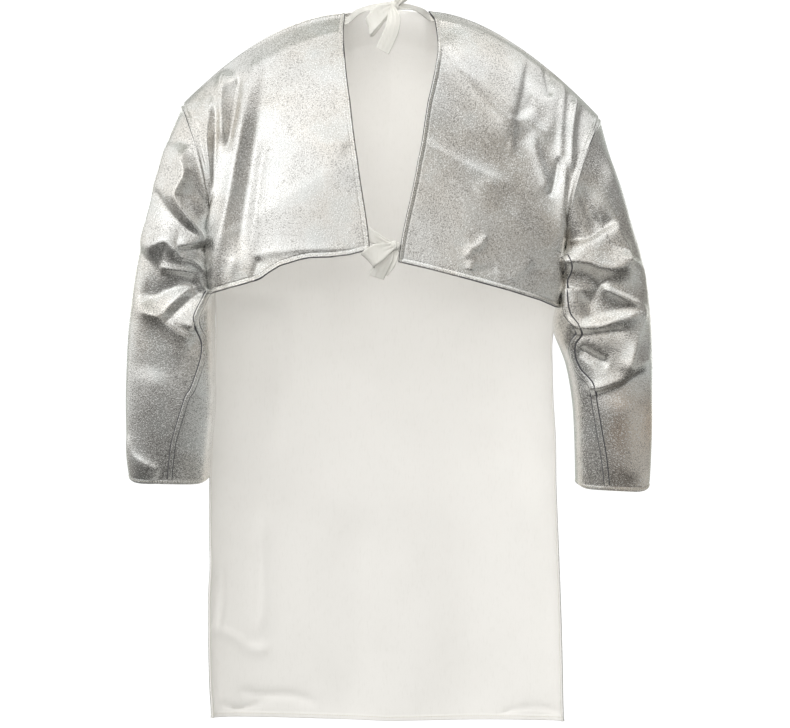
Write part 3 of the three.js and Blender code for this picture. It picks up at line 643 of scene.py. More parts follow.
def hem_depth(distance, sizes):
    """How much thicker the cloth is at a turned hem, by the distance from the edge."""
    thick, thin = (sizes.hem_width / MM + step for step in HEM["thins"])
    return HEM["inside"] * sizes.hem_lift / MM * (1 - smoothstep(distance, thick, thin))


def seam_shape(distance, sizes):
    """How far a sewn seam pulls the cloth in, by the distance from it, with a soft welt beside it."""
    ditch = np.exp(-(distance / SEAM["ditch_width"]) ** 2)
    welt = SEAM["welt"] * np.exp(-((distance - SEAM["welt_place"]) / SEAM["welt_width"]) ** 2)
    return sizes.seam_ditch / MM * (ditch - welt)


def cloth_faces(grid, normals, free, seam, sizes, full=1.0):
    """Outer and inner grid of cloth with hems and seams, by the distances from its free and sewn edges."""
    ditch = seam_shape(seam, sizes)
    outer = grid + normals * (hem_shape(free, sizes, full) - ditch)[..., None]
    inner = grid - normals * (sizes.wall / MM + hem_depth(free, sizes) + ditch)[..., None]
    return outer, inner


# Meshes

def shell(name, outer, inner, closed, materials, edge=None, rim=OUTSIDE):
    """Closed cloth wall between an outer and an inner grid, with the numbered material on its rims. Where the
    edge mask of its points is true, the outer face has the third material."""
    rows, columns = outer.shape[:2]
    index = np.arange(2 * rows * columns).reshape(2, rows, columns)
    laid = outer
    if closed:
        index = np.concatenate([index, index[:, :, :1]], axis=2)
        laid = np.concatenate([outer, outer[:, :1]], axis=1)
    flat_index = np.arange(index.size).reshape(index.shape)
    points = np.concatenate([outer.reshape(-1, 3), inner.reshape(-1, 3)]) * MM
    faces = shell_faces(index, closed)
    corners = shell_faces(flat_index, closed)
    a, b, c, d = (points[faces[:, corner]] for corner in range(4))
    volume = (a * np.cross(b, c) + a * np.cross(c, d)).sum()
    if volume < 0:
        faces = faces[:, ::-1]
        corners = corners[:, ::-1]
    piece = mesh_piece(name, points, faces.tolist(), materials)
    slots = np.zeros(len(faces), np.int32)
    layer_faces = (rows - 1) * (index.shape[2] - 1)
    slots[layer_faces:2 * layer_faces] = min(len(materials) - 1, INSIDE)
    if edge is not None:
        slots[:layer_faces][edge.reshape(-1)[faces[:layer_faces]].all(1)] = EDGE
    slots[2 * layer_faces:] = rim
    piece.data.polygons.foreach_set("material_index", slots)
    run = edge_distance(laid, 1, False).reshape(-1) * MM
    drop = edge_distance(laid, 0, True).reshape(-1) * MM
    flat = np.tile(np.stack([run, drop], -1), (2, 1))
    layer = piece.data.uv_layers.new(name="cloth")
    layer.data.foreach_set("uv", flat[corners.reshape(-1)].astype(np.float32).reshape(-1))
    return piece


def quads(index):
    """Faces between the neighbours in grids of point numbers."""
    near = index[..., :-1, :]
    far = index[..., 1:, :]
    return np.stack([near[..., :-1], near[..., 1:], far[..., 1:], far[..., :-1]], -1).reshape(-1, 4)


def shell_faces(index, closed):
    """Faces of a shell from the point numbers of its outer and inner grids: both layers, then the rims."""
    front, back = index
    faces = [quads(front), quads(back)[:, ::-1], quads(index[:, 0])[:, ::-1], quads(index[:, -1])]
    if not closed:
        faces += [quads(index[:, :, 0]), quads(index[:, :, -1])[:, ::-1]]
    return np.concatenate(faces)


def mesh_piece(name, points, faces, materials):
    """A smooth mesh in the scene, from points in metres and lists of their numbers."""
    mesh = bpy.data.meshes.new(name)
    mesh.from_pydata(points.tolist(), [], faces)
    mesh.validate()
    for material in materials:
        mesh.materials.append(material)
    mesh.polygons.foreach_set("use_smooth", np.ones(len(mesh.polygons), bool))
    mesh.update()
    piece = bpy.data.objects.new(name, mesh)
    bpy.context.scene.collection.objects.link(piece)
    return piece


def collection(name):
    """A collection that lights are linked to, made on first use."""
    return bpy.data.collections.get(name) or bpy.data.collections.new(name)


def dressed(piece, slot, *nodes):
    """Sets a piece on the coat's body, in place of the CAD nodes that it stands for."""
    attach(piece, BODY)
    if nodes:
        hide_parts(*nodes)
    return piece


def line_at(grid, normals, axis, from_end, distance):
    """Line on a grid at one distance from one of its edges, with its normals."""
    run = edge_distance(grid, axis, from_end)
    lines = np.moveaxis(grid, axis, 0)
    outs = np.moveaxis(normals, axis, 0)
    run = np.moveaxis(run, axis, 0)
    points = np.empty(lines.shape[1:])
    facing = np.empty(lines.shape[1:])
    for index in range(lines.shape[1]):
        order = np.argsort(run[:, index])
        for part in range(3):
            points[index, part] = np.interp(distance, run[order, index], lines[order, index, part])
            facing[index, part] = np.interp(distance, run[order, index], outs[order, index, part])
    return points, unit(facing)


def resampled(points, normals, spacing):
    """Points and normals of a line at an even spacing."""
    run = edge_distance(points, 0, False)
    at = np.arange(0, run[-1], spacing)
    rows = np.concatenate([points, normals], 1)
    picked = np.stack([np.interp(at, run, column) for column in rows.T], -1)
    return picked[:, :3], unit(picked[:, 3:])


def stitching(name, lines, sizes, material):
    """Rows of thread stitches on lines of points with their normals, as one piece."""
    stitch = sizes.stitch / MM
    spacing = stitch + sizes.stitch_gap / MM
    radius = sizes.thread / MM / 2
    ring = np.linspace(0, 2 * np.pi, STITCH_SIDES, endpoint=False)
    all_points = []
    all_faces = []
    count = 0
    for points, normals in lines:
        starts, outs = resampled(points, normals, spacing)
        if len(starts) < 2:
            continue
        ways = unit(np.gradient(starts, axis=0))
        sides = unit(np.cross(ways, outs))
        turned = np.cos(ring)[:, None] * sides[:, None, :] + np.sin(ring)[:, None] * outs[:, None, :]
        rings = []
        for share, rise, girth in zip(*STITCH_FORM.values()):
            middle = starts + ways * share * stitch + outs * rise * radius
            rings.append(middle[:, None, :] + radius * girth * turned)
        block = np.stack(rings, 1)
        index = count + np.arange(block[..., 0].size).reshape(block.shape[:3])
        all_faces += quads(np.concatenate([index, index[..., :1]], -1)).tolist()
        all_faces += index[:, 0, ::-1].tolist()
        all_faces += index[:, -1].tolist()
        all_points.append(block.reshape(-1, 3))
        count += block[..., 0].size
    piece = mesh_piece(name, np.concatenate(all_points) * MM, all_faces, [material])
    return dressed(piece, "tie_tape")


# Materials

# Numbers of the colour sockets of a mix node
MIX = {"factor": 0, "first": 6, "second": 7, "result": 2}


class Value:
    """A number socket of a material's nodes, so that shader maths reads as Python."""

    def __init__(self, shade, socket):
        self.shade = shade
        self.socket = socket

    def math(self, operation, first, second):
        return self.shade.node("ShaderNodeMath", {"operation": operation}, {0: first, 1: second})

    def __add__(self, other):
        return self.math("ADD", self, other)

    def __radd__(self, other):
        return self.math("ADD", other, self)

    def __sub__(self, other):
        return self.math("SUBTRACT", self, other)

    def __rsub__(self, other):
        return self.math("SUBTRACT", other, self)

    def __mul__(self, other):
        return self.math("MULTIPLY", self, other)

    def __rmul__(self, other):
        return self.math("MULTIPLY", other, self)


class Shade:
    """Nodes of one material or world."""

    def __init__(self, owner):
        owner.use_nodes = True
        self.owner = owner
        self.tree = owner.node_tree

    def node(self, kind, settings, inputs, output=0):
        """Adds a node, sets it up, fills or links its sockets, and gives one of its outputs."""
        node = self.tree.nodes.new(kind)
        for name, setting in settings.items():
            setattr(node, name, setting)
        for name, value in inputs.items():
            if isinstance(value, Value):
                self.tree.links.new(value.socket, node.inputs[name])
            else:
                node.inputs[name].default_value = value
        return Value(self, node.outputs[output])

    def place(self):
        return self.node("ShaderNodeTexCoord", {}, {}, "Object")

    def weave_place(self):
        return self.node("ShaderNodeUVMap", {"uv_map": "cloth"}, {})

    def noise(self, place, scale, detail, roughness):
        inputs = {"Vector": place, "Scale": scale, "Detail": detail, "Roughness": roughness}
        return self.node("ShaderNodeTexNoise", {}, inputs)

    def stretched(self, place, scale):
        return self.node("ShaderNodeVectorMath", {"operation": "MULTIPLY"}, {0: place, 1: scale})

    def smooth(self, value, low, high, least=0.0):
        """Fades in from the least share to 1 while a value goes from low to high."""
        inputs = {"Value": value, "From Min": low, "From Max": high, "To Min": least}
        return self.node("ShaderNodeMapRange", {"interpolation_type": "SMOOTHSTEP"}, inputs)

    def wave(self, value):
        return self.node("ShaderNodeMath", {"operation": "SINE"}, {0: value})

    def part(self, vector, name):
        return self.node("ShaderNodeSeparateXYZ", {}, {0: vector}, name)

    def mix(self, factor, first, second):
        """Mixes two colours, given as three numbers or as links."""
        pair = [value if isinstance(value, Value) else (*value, 1) for value in (first, second)]
        inputs = {MIX["factor"]: factor, MIX["first"]: pair[0], MIX["second"]: pair[1]}
        return self.node("ShaderNodeMix", {"data_type": "RGBA"}, inputs, MIX["result"])

    def bump(self, height, distance):
        return self.node("ShaderNodeBump", {}, {"Strength": 1.0, "Distance": distance, "Height": height})

    def finish(self, node="Principled BSDF", **sockets):
        """Sets or links sockets of a node that the material or world came with."""
        for name, value in sockets.items():
            socket = self.tree.nodes[node].inputs[name.replace("_", " ")]
            if isinstance(value, Value):
                self.tree.links.new(value.socket, socket)
            else:
                socket.default_value = value
        return self.owner


# Finish of the foil: scale, detail and roughness of its noises, where its marks fade in along them, how much
# of a mark shows, and the least of it where it is weak
FOIL_NOISE = {"grain": (560, 2, 0.7), "crush": (130, 3, 0.55), "patch": (24, 3, 0.6), "tint": (8, 2, 0.5)}
FOIL_RANGE = {
    "warm": (0.40, 0.62), "cool": (0.45, 0.7), "pit": (0.49, 0.37), "dull": (0.58, 0.42),
    "spark": (0.53, 0.62), "bright": (0.4, 0.6), "nub": (0.57, 0.7),
}
FOIL_SHARE = {"warm": 0.8, "cool": 0.4}
FOIL_LEAST = {"warm_reflection": 0.5, "pit": 0.25, "spark": 0.3}
FOIL_ROUGHNESS = {"base": 0.14, "grain": 0.1, "patch": 0.08}
FOIL_RELIEF = {"height": 0.38 * MM, "crush": 0.2, "nub": 0.2}

# Where the painted brown reflection of the warm room fades in on the right sleeve, in metres
WARM_REFLECTION = {"X": (0.290, 0.325), "Z": (-0.515, -0.57)}

# Finish of woven cotton: its noises, where its dark threads fade in along them, and how dark they are, the
# hollows of the weave being darkened as painted shade
COTTON_NOISE = {"slub": (420, 2, 0.6), "patch": (9, 3, 0.5)}
COTTON_RANGE = {"slub": (0.5, 0.75), "patch": (0.4, 0.75)}
COTTON_DARK = {"slub": 0.35, "threads": 0.3, "patch": 0.3}
COTTON_ROUGHNESS = {"base": 0.82, "slub": 0.1}
COTTON_SHEEN = {"Sheen_Weight": 0.15, "Sheen_Roughness": 0.6, "Specular_IOR_Level": 0.3}
SLUB_STRETCH = (1, 1, 0.2)
SLUB_RELIEF = 0.4
WEAVE_HEIGHT = {"middle": 0.5, "crossing": 0.25, "thread": 0.12}

# Pitch of the threads and relief of the woven cottons, in metres
COTTONS = {"backing": (0.9 * MM, 0.18 * MM), "tape": (1.1 * MM, 0.25 * MM)}

# Finish of sewing thread
TWIST_NOISE = (1500, 2, 0.5)
TWIST_RANGE = (0.35, 0.7)
TWIST = {"share": 0.5, "dark": 0.72, "roughness": 0.7, "uneven": 0.15}


def foil_material(name, colours):
    """Aluminised cloth: a satin metal skin that shows the grain of the weave below it."""
    shade = Shade(bpy.data.materials.new(name))
    place = shade.place()
    grain, crush, patch, tint = (shade.noise(place, *noise) for noise in FOIL_NOISE.values())

    def fade(value, mark, least=0.0):
        return shade.smooth(value, *FOIL_RANGE[mark], least)

    # Painted reflection: the lower right sleeve turns brown, for the warm room that it reflects
    low_sleeve = [shade.smooth(shade.part(place, axis), *span) for axis, span in WARM_REFLECTION.items()]
    warm_reflection = low_sleeve[0] * low_sleeve[1] * fade(tint, "warm", FOIL_LEAST["warm_reflection"])
    pits = fade(grain, "pit") * fade(patch, "dull", FOIL_LEAST["pit"])
    # Sparks: bright grain on the crests of the relief, partly painted glints of the crinkled foil
    sparks = fade(grain, "spark") * fade(patch, "bright", FOIL_LEAST["spark"])
    colour = shade.mix(fade(tint, "warm") * FOIL_SHARE["warm"], colours.foil, colours.foil_warm)
    colour = shade.mix(fade(patch, "cool") * FOIL_SHARE["cool"], colour, colours.foil_cool)
    colour = shade.mix(warm_reflection, colour, colours.foil_warm_reflection)
    colour = shade.mix(pits, colour, colours.foil_pit)
    colour = shade.mix(sparks, colour, colours.foil_spark)
    rough = FOIL_ROUGHNESS["base"] + grain * FOIL_ROUGHNESS["grain"] + patch * FOIL_ROUGHNESS["patch"]
    height = grain + crush * FOIL_RELIEF["crush"] + fade(grain, "nub") * FOIL_RELIEF["nub"]
    relief = shade.bump(height, FOIL_RELIEF["height"])
    return shade.finish(Base_Color=colour, Metallic=1.0, Roughness=rough, Normal=relief)


def weave(shade, pitch):
    """Height of a plain weave with that thread pitch in metres, from 0 to 1."""
    place = shade.weave_place()
    turn = 2 * math.pi / pitch
    warp = shade.wave(shade.part(place, "X") * turn)
    weft = shade.wave(shade.part(place, "Y") * turn)
    threads = (warp + weft) * WEAVE_HEIGHT["thread"]
    return warp * weft * WEAVE_HEIGHT["crossing"] + threads + WEAVE_HEIGHT["middle"]


def cotton_material(name, light, shadow, pitch, relief):
    """Woven cotton with a little slub and soft shading between its threads."""
    shade = Shade(bpy.data.materials.new(name))
    place = shade.place()
    slub = shade.noise(shade.stretched(place, SLUB_STRETCH), *COTTON_NOISE["slub"])
    patch = shade.noise(place, *COTTON_NOISE["patch"])
    threads = weave(shade, pitch)
    dark = shade.smooth(slub, *COTTON_RANGE["slub"]) * COTTON_DARK["slub"]
    # Painted shade: the low parts of the weave, between the threads, are darkened
    dark = dark + (1 - threads) * COTTON_DARK["threads"]
    dark = dark + shade.smooth(patch, *COTTON_RANGE["patch"]) * COTTON_DARK["patch"]
    rough = COTTON_ROUGHNESS["base"] + slub * COTTON_ROUGHNESS["slub"]
    surface = shade.bump(threads + slub * SLUB_RELIEF, relief)
    shade.finish(**COTTON_SHEEN)
    return shade.finish(Base_Color=shade.mix(dark, light, shadow), Roughness=rough, Normal=surface)


def thread_material(name, colour):
    """Twisted sewing thread."""
    shade = Shade(bpy.data.materials.new(name))
    twist = shade.noise(shade.place(), *TWIST_NOISE)
    dark = [TWIST["dark"] * part for part in colour]
    tone = shade.mix(shade.smooth(twist, *TWIST_RANGE) * TWIST["share"], colour, dark)
    return shade.finish(Base_Color=tone, Roughness=TWIST["roughness"] + twist * TWIST["uneven"])


def material(kind):
    """A material of the coat by its name, made on first use."""
    found = bpy.data.materials.get(kind)
    if found:
        return found
    colours = bpy.context.scene.coat_colours
    if kind == "foil":
        return foil_material(kind, colours)
    if kind in COTTONS:
        shadow = getattr(colours, f"{kind}_shade")
        return cotton_material(kind, getattr(colours, kind), shadow, *COTTONS[kind])
    return thread_material(kind, getattr(colours, kind))


# Cut of the pieces

def ridge_height(side, x):
    """Height of the shoulder line at x."""
    share = np.clip((x - side["neck_x"]) / (side["tip_x"] - side["neck_x"]), 0, 1)
    return lerp(side["neck_z"], side["tip_z"], share ** side["ridge_power"])


def armhole(side, angle):
    """Armhole line: angle 0 at the shoulder tip, a quarter turn at the back, a half turn at the armpit."""
    fall = (1 - np.cos(angle)) / 2
    bow = ARMHOLE_BOW * np.sin(angle) ** 2
    x = lerp(side["tip_x"], side["pit_x"], fall) - bow
    return x, -ARMHOLE_DEPTH * np.sin(angle), lerp(side["tip_z"], side["pit_z"], fall)


def side_edge(side, rows, turn):
    """Side edge of a panel down to the end of the side seam: the armhole, then the seam."""
    x, y, z = armhole(side, turn * np.pi * np.clip(rows / ARM_ROWS, 0, 1))
    seam = np.clip((rows - ARM_ROWS) / SEAM_ROWS, 0, 1)
    below = rows > ARM_ROWS
    x = np.where(below, lerp(side["pit_x"], side["hem_x"], seam), x - SEAM_GAP)
    y = np.where(below, 0, y)
    z = np.where(below, lerp(side["pit_z"], side["hem_z"], seam), z)
    return x, y, z


def wrinkles(points, sizes, seed):
    """Small uneven waves of the cloth."""
    waves = [share * wander(points, size, seed + index) for index, (size, share) in enumerate(WRINKLES)]
    return sizes.wrinkle / MM * sum(waves)


def back_panel_grid(name, sizes):
    """Outer and inner grid of a back panel, columns from the opening edge to the side edge, with its normals
    and the mask of the band along its free edges that is painted dark, as shade."""
    side = SIDES[name]
    all_rows = ARM_ROWS + SEAM_ROWS
    rows = stations((0, all_rows - BACK_GRID["hem_span"], all_rows), BACK_GRID["rows"])[:, None]
    shares = column_shares(BACK_GRID["edge_share"], BACK_GRID["edge_columns"], BACK_GRID["columns"])
    t = rows / all_rows
    opening = OPENING_EDGE[name]
    open_z = lerp(side["neck_z"], side["open_hem_z"], t ** ROW_SPREAD)
    place = place_at_height(opening, open_z)
    open_x = along(opening, "x", place)
    open_y = along(opening, "y", place)
    edge_x, edge_y, edge_z = side_edge(side, rows, 1)
    ridge_x = lerp(side["neck_x"], side["tip_x"], shares)
    lift = ridge_height(side, ridge_x) - lerp(side["neck_z"], side["tip_z"], shares)
    low = np.clip(rows / ARM_ROWS - FLAP["from"], 0, None) / (all_rows / ARM_ROWS - FLAP["from"])
    hang = smoothstep(rows, *FLAP["rows"])
    spread = np.minimum(shares / lerp(1, FLAP["turn"], hang), 1)
    turned = smoothstep(shares, FLAP["turn"], 1)
    flap_y = np.where(low > 0, lerp(-ARMHOLE_DEPTH, FLAP["hem_y"], low), edge_y)
    y = flap_y + (open_y - flap_y) * np.sqrt(1 - spread ** BACK_FULLNESS) + (edge_y - flap_y) * turned
    flare = side["flare"] * hang * spread ** FLAP["flare_power"] * (1 - turned)
    grid = np.stack([
        side["sign"] * (lerp(open_x, edge_x, spread) + flare),
        np.minimum(y, -SEAM_GAP),
        lerp(open_z, edge_z, shares) + lift * (1 - t) ** SHOULDER_DROP_MIX,
    ], -1)
    grid[..., 2] += (hem_height(HEM_LINE[name], grid[-1]) - grid[-1, :, 2]) * t ** HEM_WAVE_MIX
    normals = grid_normals(grid, -side["sign"])
    distance = edge_distance(grid, 1, True)
    fade = smoothstep(distance, 0, PANEL_FOLD_FADE["side"]) * smoothstep(rows, 0, PANEL_FOLD_FADE["rows"])
    height = fold_height(BACK_FOLDS[name], grid) + wrinkles(grid, sizes, WRINKLE_SEEDS["back"])
    grid = grid + normals * (fade * height)[..., None]
    normals = grid_normals(grid, -side["sign"])
    free = np.minimum(edge_distance(grid, 0, True), edge_distance(grid, 1, False))
    seam = np.minimum(edge_distance(grid, 1, True), edge_distance(grid, 0, False))
    return *cloth_faces(grid, normals, free, seam, sizes), normals, free < EDGE_SHADE_WIDTH


def front_panel_grid(sizes):
    """Outer and inner grid of the front panel, columns from the wearer's left to right, with its normals."""
    top_rows = ARM_ROWS + SEAM_ROWS
    all_rows = top_rows + SKIRT_ROWS
    rows = stations((0, top_rows, all_rows - FRONT_GRID["hem_span"], all_rows), FRONT_GRID["rows"])[:, None]
    skirt = np.clip((rows - top_rows) / SKIRT_ROWS, 0, 1)
    shoulder = np.clip(rows / top_rows, 0, 1)
    top_z = FRONT_LINE["z"][0]
    waist_z = (SIDES["left"]["hem_z"] + SIDES["right"]["hem_z"]) / 2
    upper_z = lerp(top_z, waist_z, shoulder ** ROW_SPREAD)
    middle_z = np.where(skirt > 0, lerp(waist_z, -COAT_LENGTH, skirt), upper_z)
    middle_y = along(FRONT_LINE, "y", place_at_height(FRONT_LINE, middle_z))
    rounding = np.sqrt(1 - (1 - np.clip((top_z - middle_z) / ROUND_DROP, 0, 1)) ** 2)
    halves = []
    for name, side in SIDES.items():
        edge_x, edge_y, edge_z = side_edge(side, rows, -1)
        free = FREE_EDGE[name]
        free_z = lerp(side["hem_z"], free["z"][-1], skirt)
        place = place_at_height(free, free_z)
        below = rows > top_rows
        edge_x = np.where(below, along(free, "x", place), edge_x)
        edge_y = np.where(below, along(free, "y", place), edge_y)
        edge_z = np.where(below, free_z, edge_z)
        neck_share = side["neck_x"] / side["tip_x"]
        shares = column_shares(neck_share, FRONT_GRID["neck_columns"], FRONT_GRID["columns"])
        in_neck = np.maximum(0, 1 - (shares / neck_share) ** 2)
        ridge = ridge_height(side, shares * side["tip_x"])
        line_z = np.where(shares < neck_share, side["neck_z"] + FRONT_NECK_RISE * in_neck, ridge)
        lift = line_z - lerp(side["neck_z"] + FRONT_NECK_RISE, side["tip_z"], shares)
        plateau = edge_y + (middle_y - edge_y) * np.sqrt(1 - shares ** FRONT_FULLNESS)
        line_y = FRONT_NECK_DEPTH * np.sqrt(in_neck)
        half = np.stack([
            side["sign"] * shares * edge_x,
            np.maximum(lerp(line_y, plateau, rounding), SEAM_GAP),
            lerp(middle_z, edge_z, shares) + lift * (1 - shoulder) ** SHOULDER_DROP_MIX,
        ], -1)
        halves.append(half[:, ::-1] if name == "left" else half[:, 1:])
    grid = np.concatenate(halves, axis=1)
    normals = grid_normals(grid, 1)
    fade = smoothstep(rows, 0, PANEL_FOLD_FADE["rows"])
    height = fold_height(FRONT_FOLDS, grid) + fade * wrinkles(grid, sizes, WRINKLE_SEEDS["front"])
    grid = grid + normals * height[..., None]
    normals = grid_normals(grid, 1)
    sides = np.minimum(edge_distance(grid, 1, False), edge_distance(grid, 1, True))
    sewn = rows <= top_rows
    top = edge_distance(grid, 0, False)
    in_neck = (grid[:1, :, 1] > 2 * SEAM_GAP) & (rows < top_rows)
    free = np.minimum(edge_distance(grid, 0, True), np.where(sewn, FAR, sides))
    free = np.minimum(free, np.where(in_neck, top, FAR))
    seam = np.minimum(np.where(sewn, sides, FAR), np.where(in_neck, FAR, top))
    return *cloth_faces(grid, normals, free, seam, sizes), normals


def sleeve_grid(name, sizes):
    """Outer and inner grid of a sleeve, rings from the armhole to the cuff, with its normals."""
    side = SIDES[name]
    sections = SLEEVE_SECTIONS[name]
    last = len(sections["depth"]) - 1
    stops = (0, SLEEVE_GRID["seam_span"], last - SLEEVE_GRID["cuff_span"], last)
    place = stations(stops, SLEEVE_GRID["rings"])[:, None]
    angle = stations((0, np.pi, 2 * np.pi), SLEEVE_GRID["columns"], to_end=False)[None, :]
    section = {column: along(sections, column, place) for column in sections}
    fall = (1 - np.cos(angle)) / 2
    bow = ARMHOLE_BOW * np.sin(angle) ** 2 * (1 - smoothstep(place, 0, SLEEVE_SETTLES))
    gap = SEAM_GAP * (1 - smoothstep(place, 0, SLEEVE_GAP_ENDS))
    flatness = lerp(1, SLEEVE_FLATNESS, smoothstep(place, 0, SLEEVE_SETTLES))
    corner = CUFF_ROUND["rise"] * np.abs(np.cos(angle)) ** CUFF_ROUND["sharpness"]
    corner = corner * smoothstep(place, last - CUFF_ROUND["length"], last)
    grid = np.stack([
        side["sign"] * (lerp(section["out_x"], section["in_x"], fall) - bow + gap),
        section["mid_y"] - section["depth"] * np.sign(np.sin(angle)) * np.abs(np.sin(angle)) ** flatness,
        lerp(section["out_z"], section["in_z"], fall) + corner,
    ], -1)
    normals = grid_normals(grid, side["sign"], True)
    behind = smoothstep(-normals[..., 1], SLEEVE_FOLD_FADE["turned_away"], SLEEVE_FOLD_FADE["turned_back"])
    ahead = smoothstep(normals[..., 1], SLEEVE_FOLD_FADE["turned_away"], SLEEVE_FOLD_FADE["turned_back"])
    fade = smoothstep(place, 0, SLEEVE_FOLD_FADE["place"])
    height = behind * fold_height(SLEEVE_FOLDS[name], grid)
    height += ahead * fold_height(SLEEVE_FRONT_FOLDS[name], grid)
    height += wrinkles(grid, sizes, WRINKLE_SEEDS["sleeve"])
    grid = grid + normals * (fade * height)[..., None]
    normals = grid_normals(grid, side["sign"], True)
    cuff = edge_distance(grid, 0, True)
    seam = edge_distance(grid, 0, False)
    return *cloth_faces(grid, normals, cuff, seam, sizes, CUFF_LIFT), normals


def seam_strip(name, outer, normals, sizes):
    """Outer and inner grid of the strip that covers a sleeve's felled seam, and the mask of its edges."""
    line = smooth_line(SLEEVE_SEAMS[name], SEAM_STRIP_STEPS)
    way = unit(np.gradient(line, axis=0))
    side = np.stack([way[:, 1], -way[:, 0]], -1)
    across = SEAM_STRIP["across"]
    width = lerp(*SEAM_STRIP_WIDTH[name], np.linspace(0, 1, len(line)))
    places = line[:, None] + side[:, None] * (width[:, None] * across / PIXEL)[..., None]
    points, facing = on_cloth(outer, normals, places)
    top = points + facing * SEAM_STRIP["lift"][None, :, None]
    edge = np.broadcast_to(np.abs(across) >= SEAM_STRIP_EDGE, places.shape[:2])
    return top, points - facing * sizes.wall / MM, edge


# Tie tapes

def ribbon(rows, sizes):
    """Outer and inner grid of a tape that follows a table of path points."""
    last = len(rows["x"]) - 1
    place = np.linspace(0, last, last * TAPE_GRID["steps"] + 1)
    value = {column: along(rows, column, place) for column in rows}
    turn = np.radians(value["turn"])
    tip = np.radians(value["tip"])
    middle = np.stack([value["x"], value["y"], value["z"]], -1)
    across = np.stack([np.sin(turn) * np.cos(tip), np.sin(tip), np.cos(turn) * np.cos(tip)], -1)
    normal = unit(np.cross(across, np.gradient(middle, axis=0)))
    share = np.linspace(-1, 1, TAPE_GRID["across"])
    gathered = np.clip(1 - value["wide"] / FULL_TAPE, 0, 1)
    pleat = TAPE_FORM["pleat"] * gathered[:, None] * np.cos(TAPE_FORM["pleats"] * np.pi * share)[None, :]
    curl = TAPE_FORM["curl"] * (1 - gathered)[:, None] * (share ** 2)[None, :]
    half = value["wide"][:, None] / 2 * share[None, :]
    grid = middle[:, None] + across[:, None] * half[..., None] + normal[:, None] * (pleat + curl)[..., None]
    normals = grid_normals(grid, 1)
    wall = sizes.tape_wall / MM / 2
    return grid + normals * wall, grid - normals * wall


def knot_wrap(centre, wrap, sizes):
    """Outer and inner grid of tape wrapped round a knot, about the X axis."""
    angle = np.linspace(0, 2 * np.pi, TAPE_GRID["round"], endpoint=False)[None, :]
    share = np.linspace(-1, 1, TAPE_GRID["across"])[:, None]
    ripple = wrap["ripple"] * np.cos(TAPE_FORM["pleats"] * np.pi * share + np.sin(angle))
    swell = 1 - WRAP_HOLLOW * share ** 2 + ripple
    grid = np.stack([
        centre[0] + wrap["wide"] * share + WRAP_SLANT * np.sin(angle),
        centre[1] + wrap["deep"] * swell * np.cos(angle),
        centre[2] + wrap["tall"] * swell * np.sin(angle),
    ], -1)
    out = unit(np.stack([0 * grid[..., 0], np.cos(angle) + 0 * share, np.sin(angle) + 0 * share], -1))
    return grid, grid - out * sizes.tape_wall / MM


def joined(name, pieces):
    """Joins pieces into the first one, under a new name."""
    with bpy.context.temp_override(active_object=pieces[0], selected_editable_objects=pieces):
        bpy.ops.object.join()
    pieces[0].name = name
    pieces[0].data.name = name
    return pieces[0]


def tie_tape(name, strips, knot, wrap, sizes):
    """One tape with its strips and its wrap of the knot, and the length of the strips in metres."""
    finish = [material("tape")]
    parts = [shell(f"{name}_strip", *ribbon(rows, sizes), False, finish) for rows in strips]
    parts.append(shell(f"{name}_wrap", *knot_wrap(knot, wrap, sizes), True, finish))
    piece = joined(f"{name}_tape", parts)
    dressed(piece, "tie_tape", name)
    collection(WHITE_CLOTH).objects.link(piece)
    return piece, sum(path_length(rows) for rows in strips) * MM


def path_length(rows):
    """Length of a tape along its path points, in millimetres."""
    points = np.stack([rows["x"], rows["y"], rows["z"]], -1)
    return np.linalg.norm(np.diff(points, axis=0), axis=1).sum()


# Operators

def stitch_row(sizes):
    """Distance of the stitching from the edge of a hem, in millimetres."""
    return sizes.hem_width / MM - STITCH_INSIDE


def sewn_sheet(piece, slot, node, lines, sizes):
    """Sets cloth in place of its CAD node, and sews its hems along lines."""
    dressed(piece, slot, node)
    thread = stitching(f"{node}_stitching", lines, sizes, material("thread"))


class COAT_OT_front_panel(bpy.types.Operator):
    """Builds the front panel with its hems and their stitching"""

    bl_idname = "coat.front_panel"
    bl_label = "Front panel"

    def execute(self, context):
        sizes = context.scene.coat_sizes
        outer, inner, normals = front_panel_grid(sizes)
        finishes = [material("foil"), material("backing")]
        piece = shell("front_panel_cloth", outer, inner, False, finishes, rim=INSIDE)
        for group in (WHITE_CLOTH, WHITE_BLOCKERS):
            collection(group).objects.link(piece)
        below = FRONT_GRID["rows"][0]
        row = stitch_row(sizes)
        lines = []
        for grid, outs in ((outer, normals), (inner, -normals)):
            lines.append(line_at(grid, outs, 0, True, row))
            for from_end in (False, True):
                lines.append(line_at(grid[below:], outs[below:], 1, from_end, row))
        sewn_sheet(piece, "backing_cloth", "front_panel", lines, sizes)
        return {"FINISHED"}


class COAT_OT_back_panels(bpy.types.Operator):
    """Builds the two back panels with their hems and their stitching"""

    bl_idname = "coat.back_panels"
    bl_label = "Back panels"

    def execute(self, context):
        sizes = context.scene.coat_sizes
        row = stitch_row(sizes)
        for side in SIDES:
            name = f"back_panel_{side}"
            outer, inner, normals, edge = back_panel_grid(side, sizes)
            # The third material paints shade as a dark band along the free edges and on the rims
            finishes = [material("foil"), material("backing"), material("cut_edge")]
            piece = shell(f"{name}_cloth", outer, inner, False, finishes, edge, rim=EDGE)
            lines = []
            for grid, outs in ((outer, normals), (inner, -normals)):
                lines += [line_at(grid, outs, 0, True, row), line_at(grid, outs, 1, False, row)]
            sewn_sheet(piece, "aluminised_cloth", name, lines, sizes)
        return {"FINISHED"}


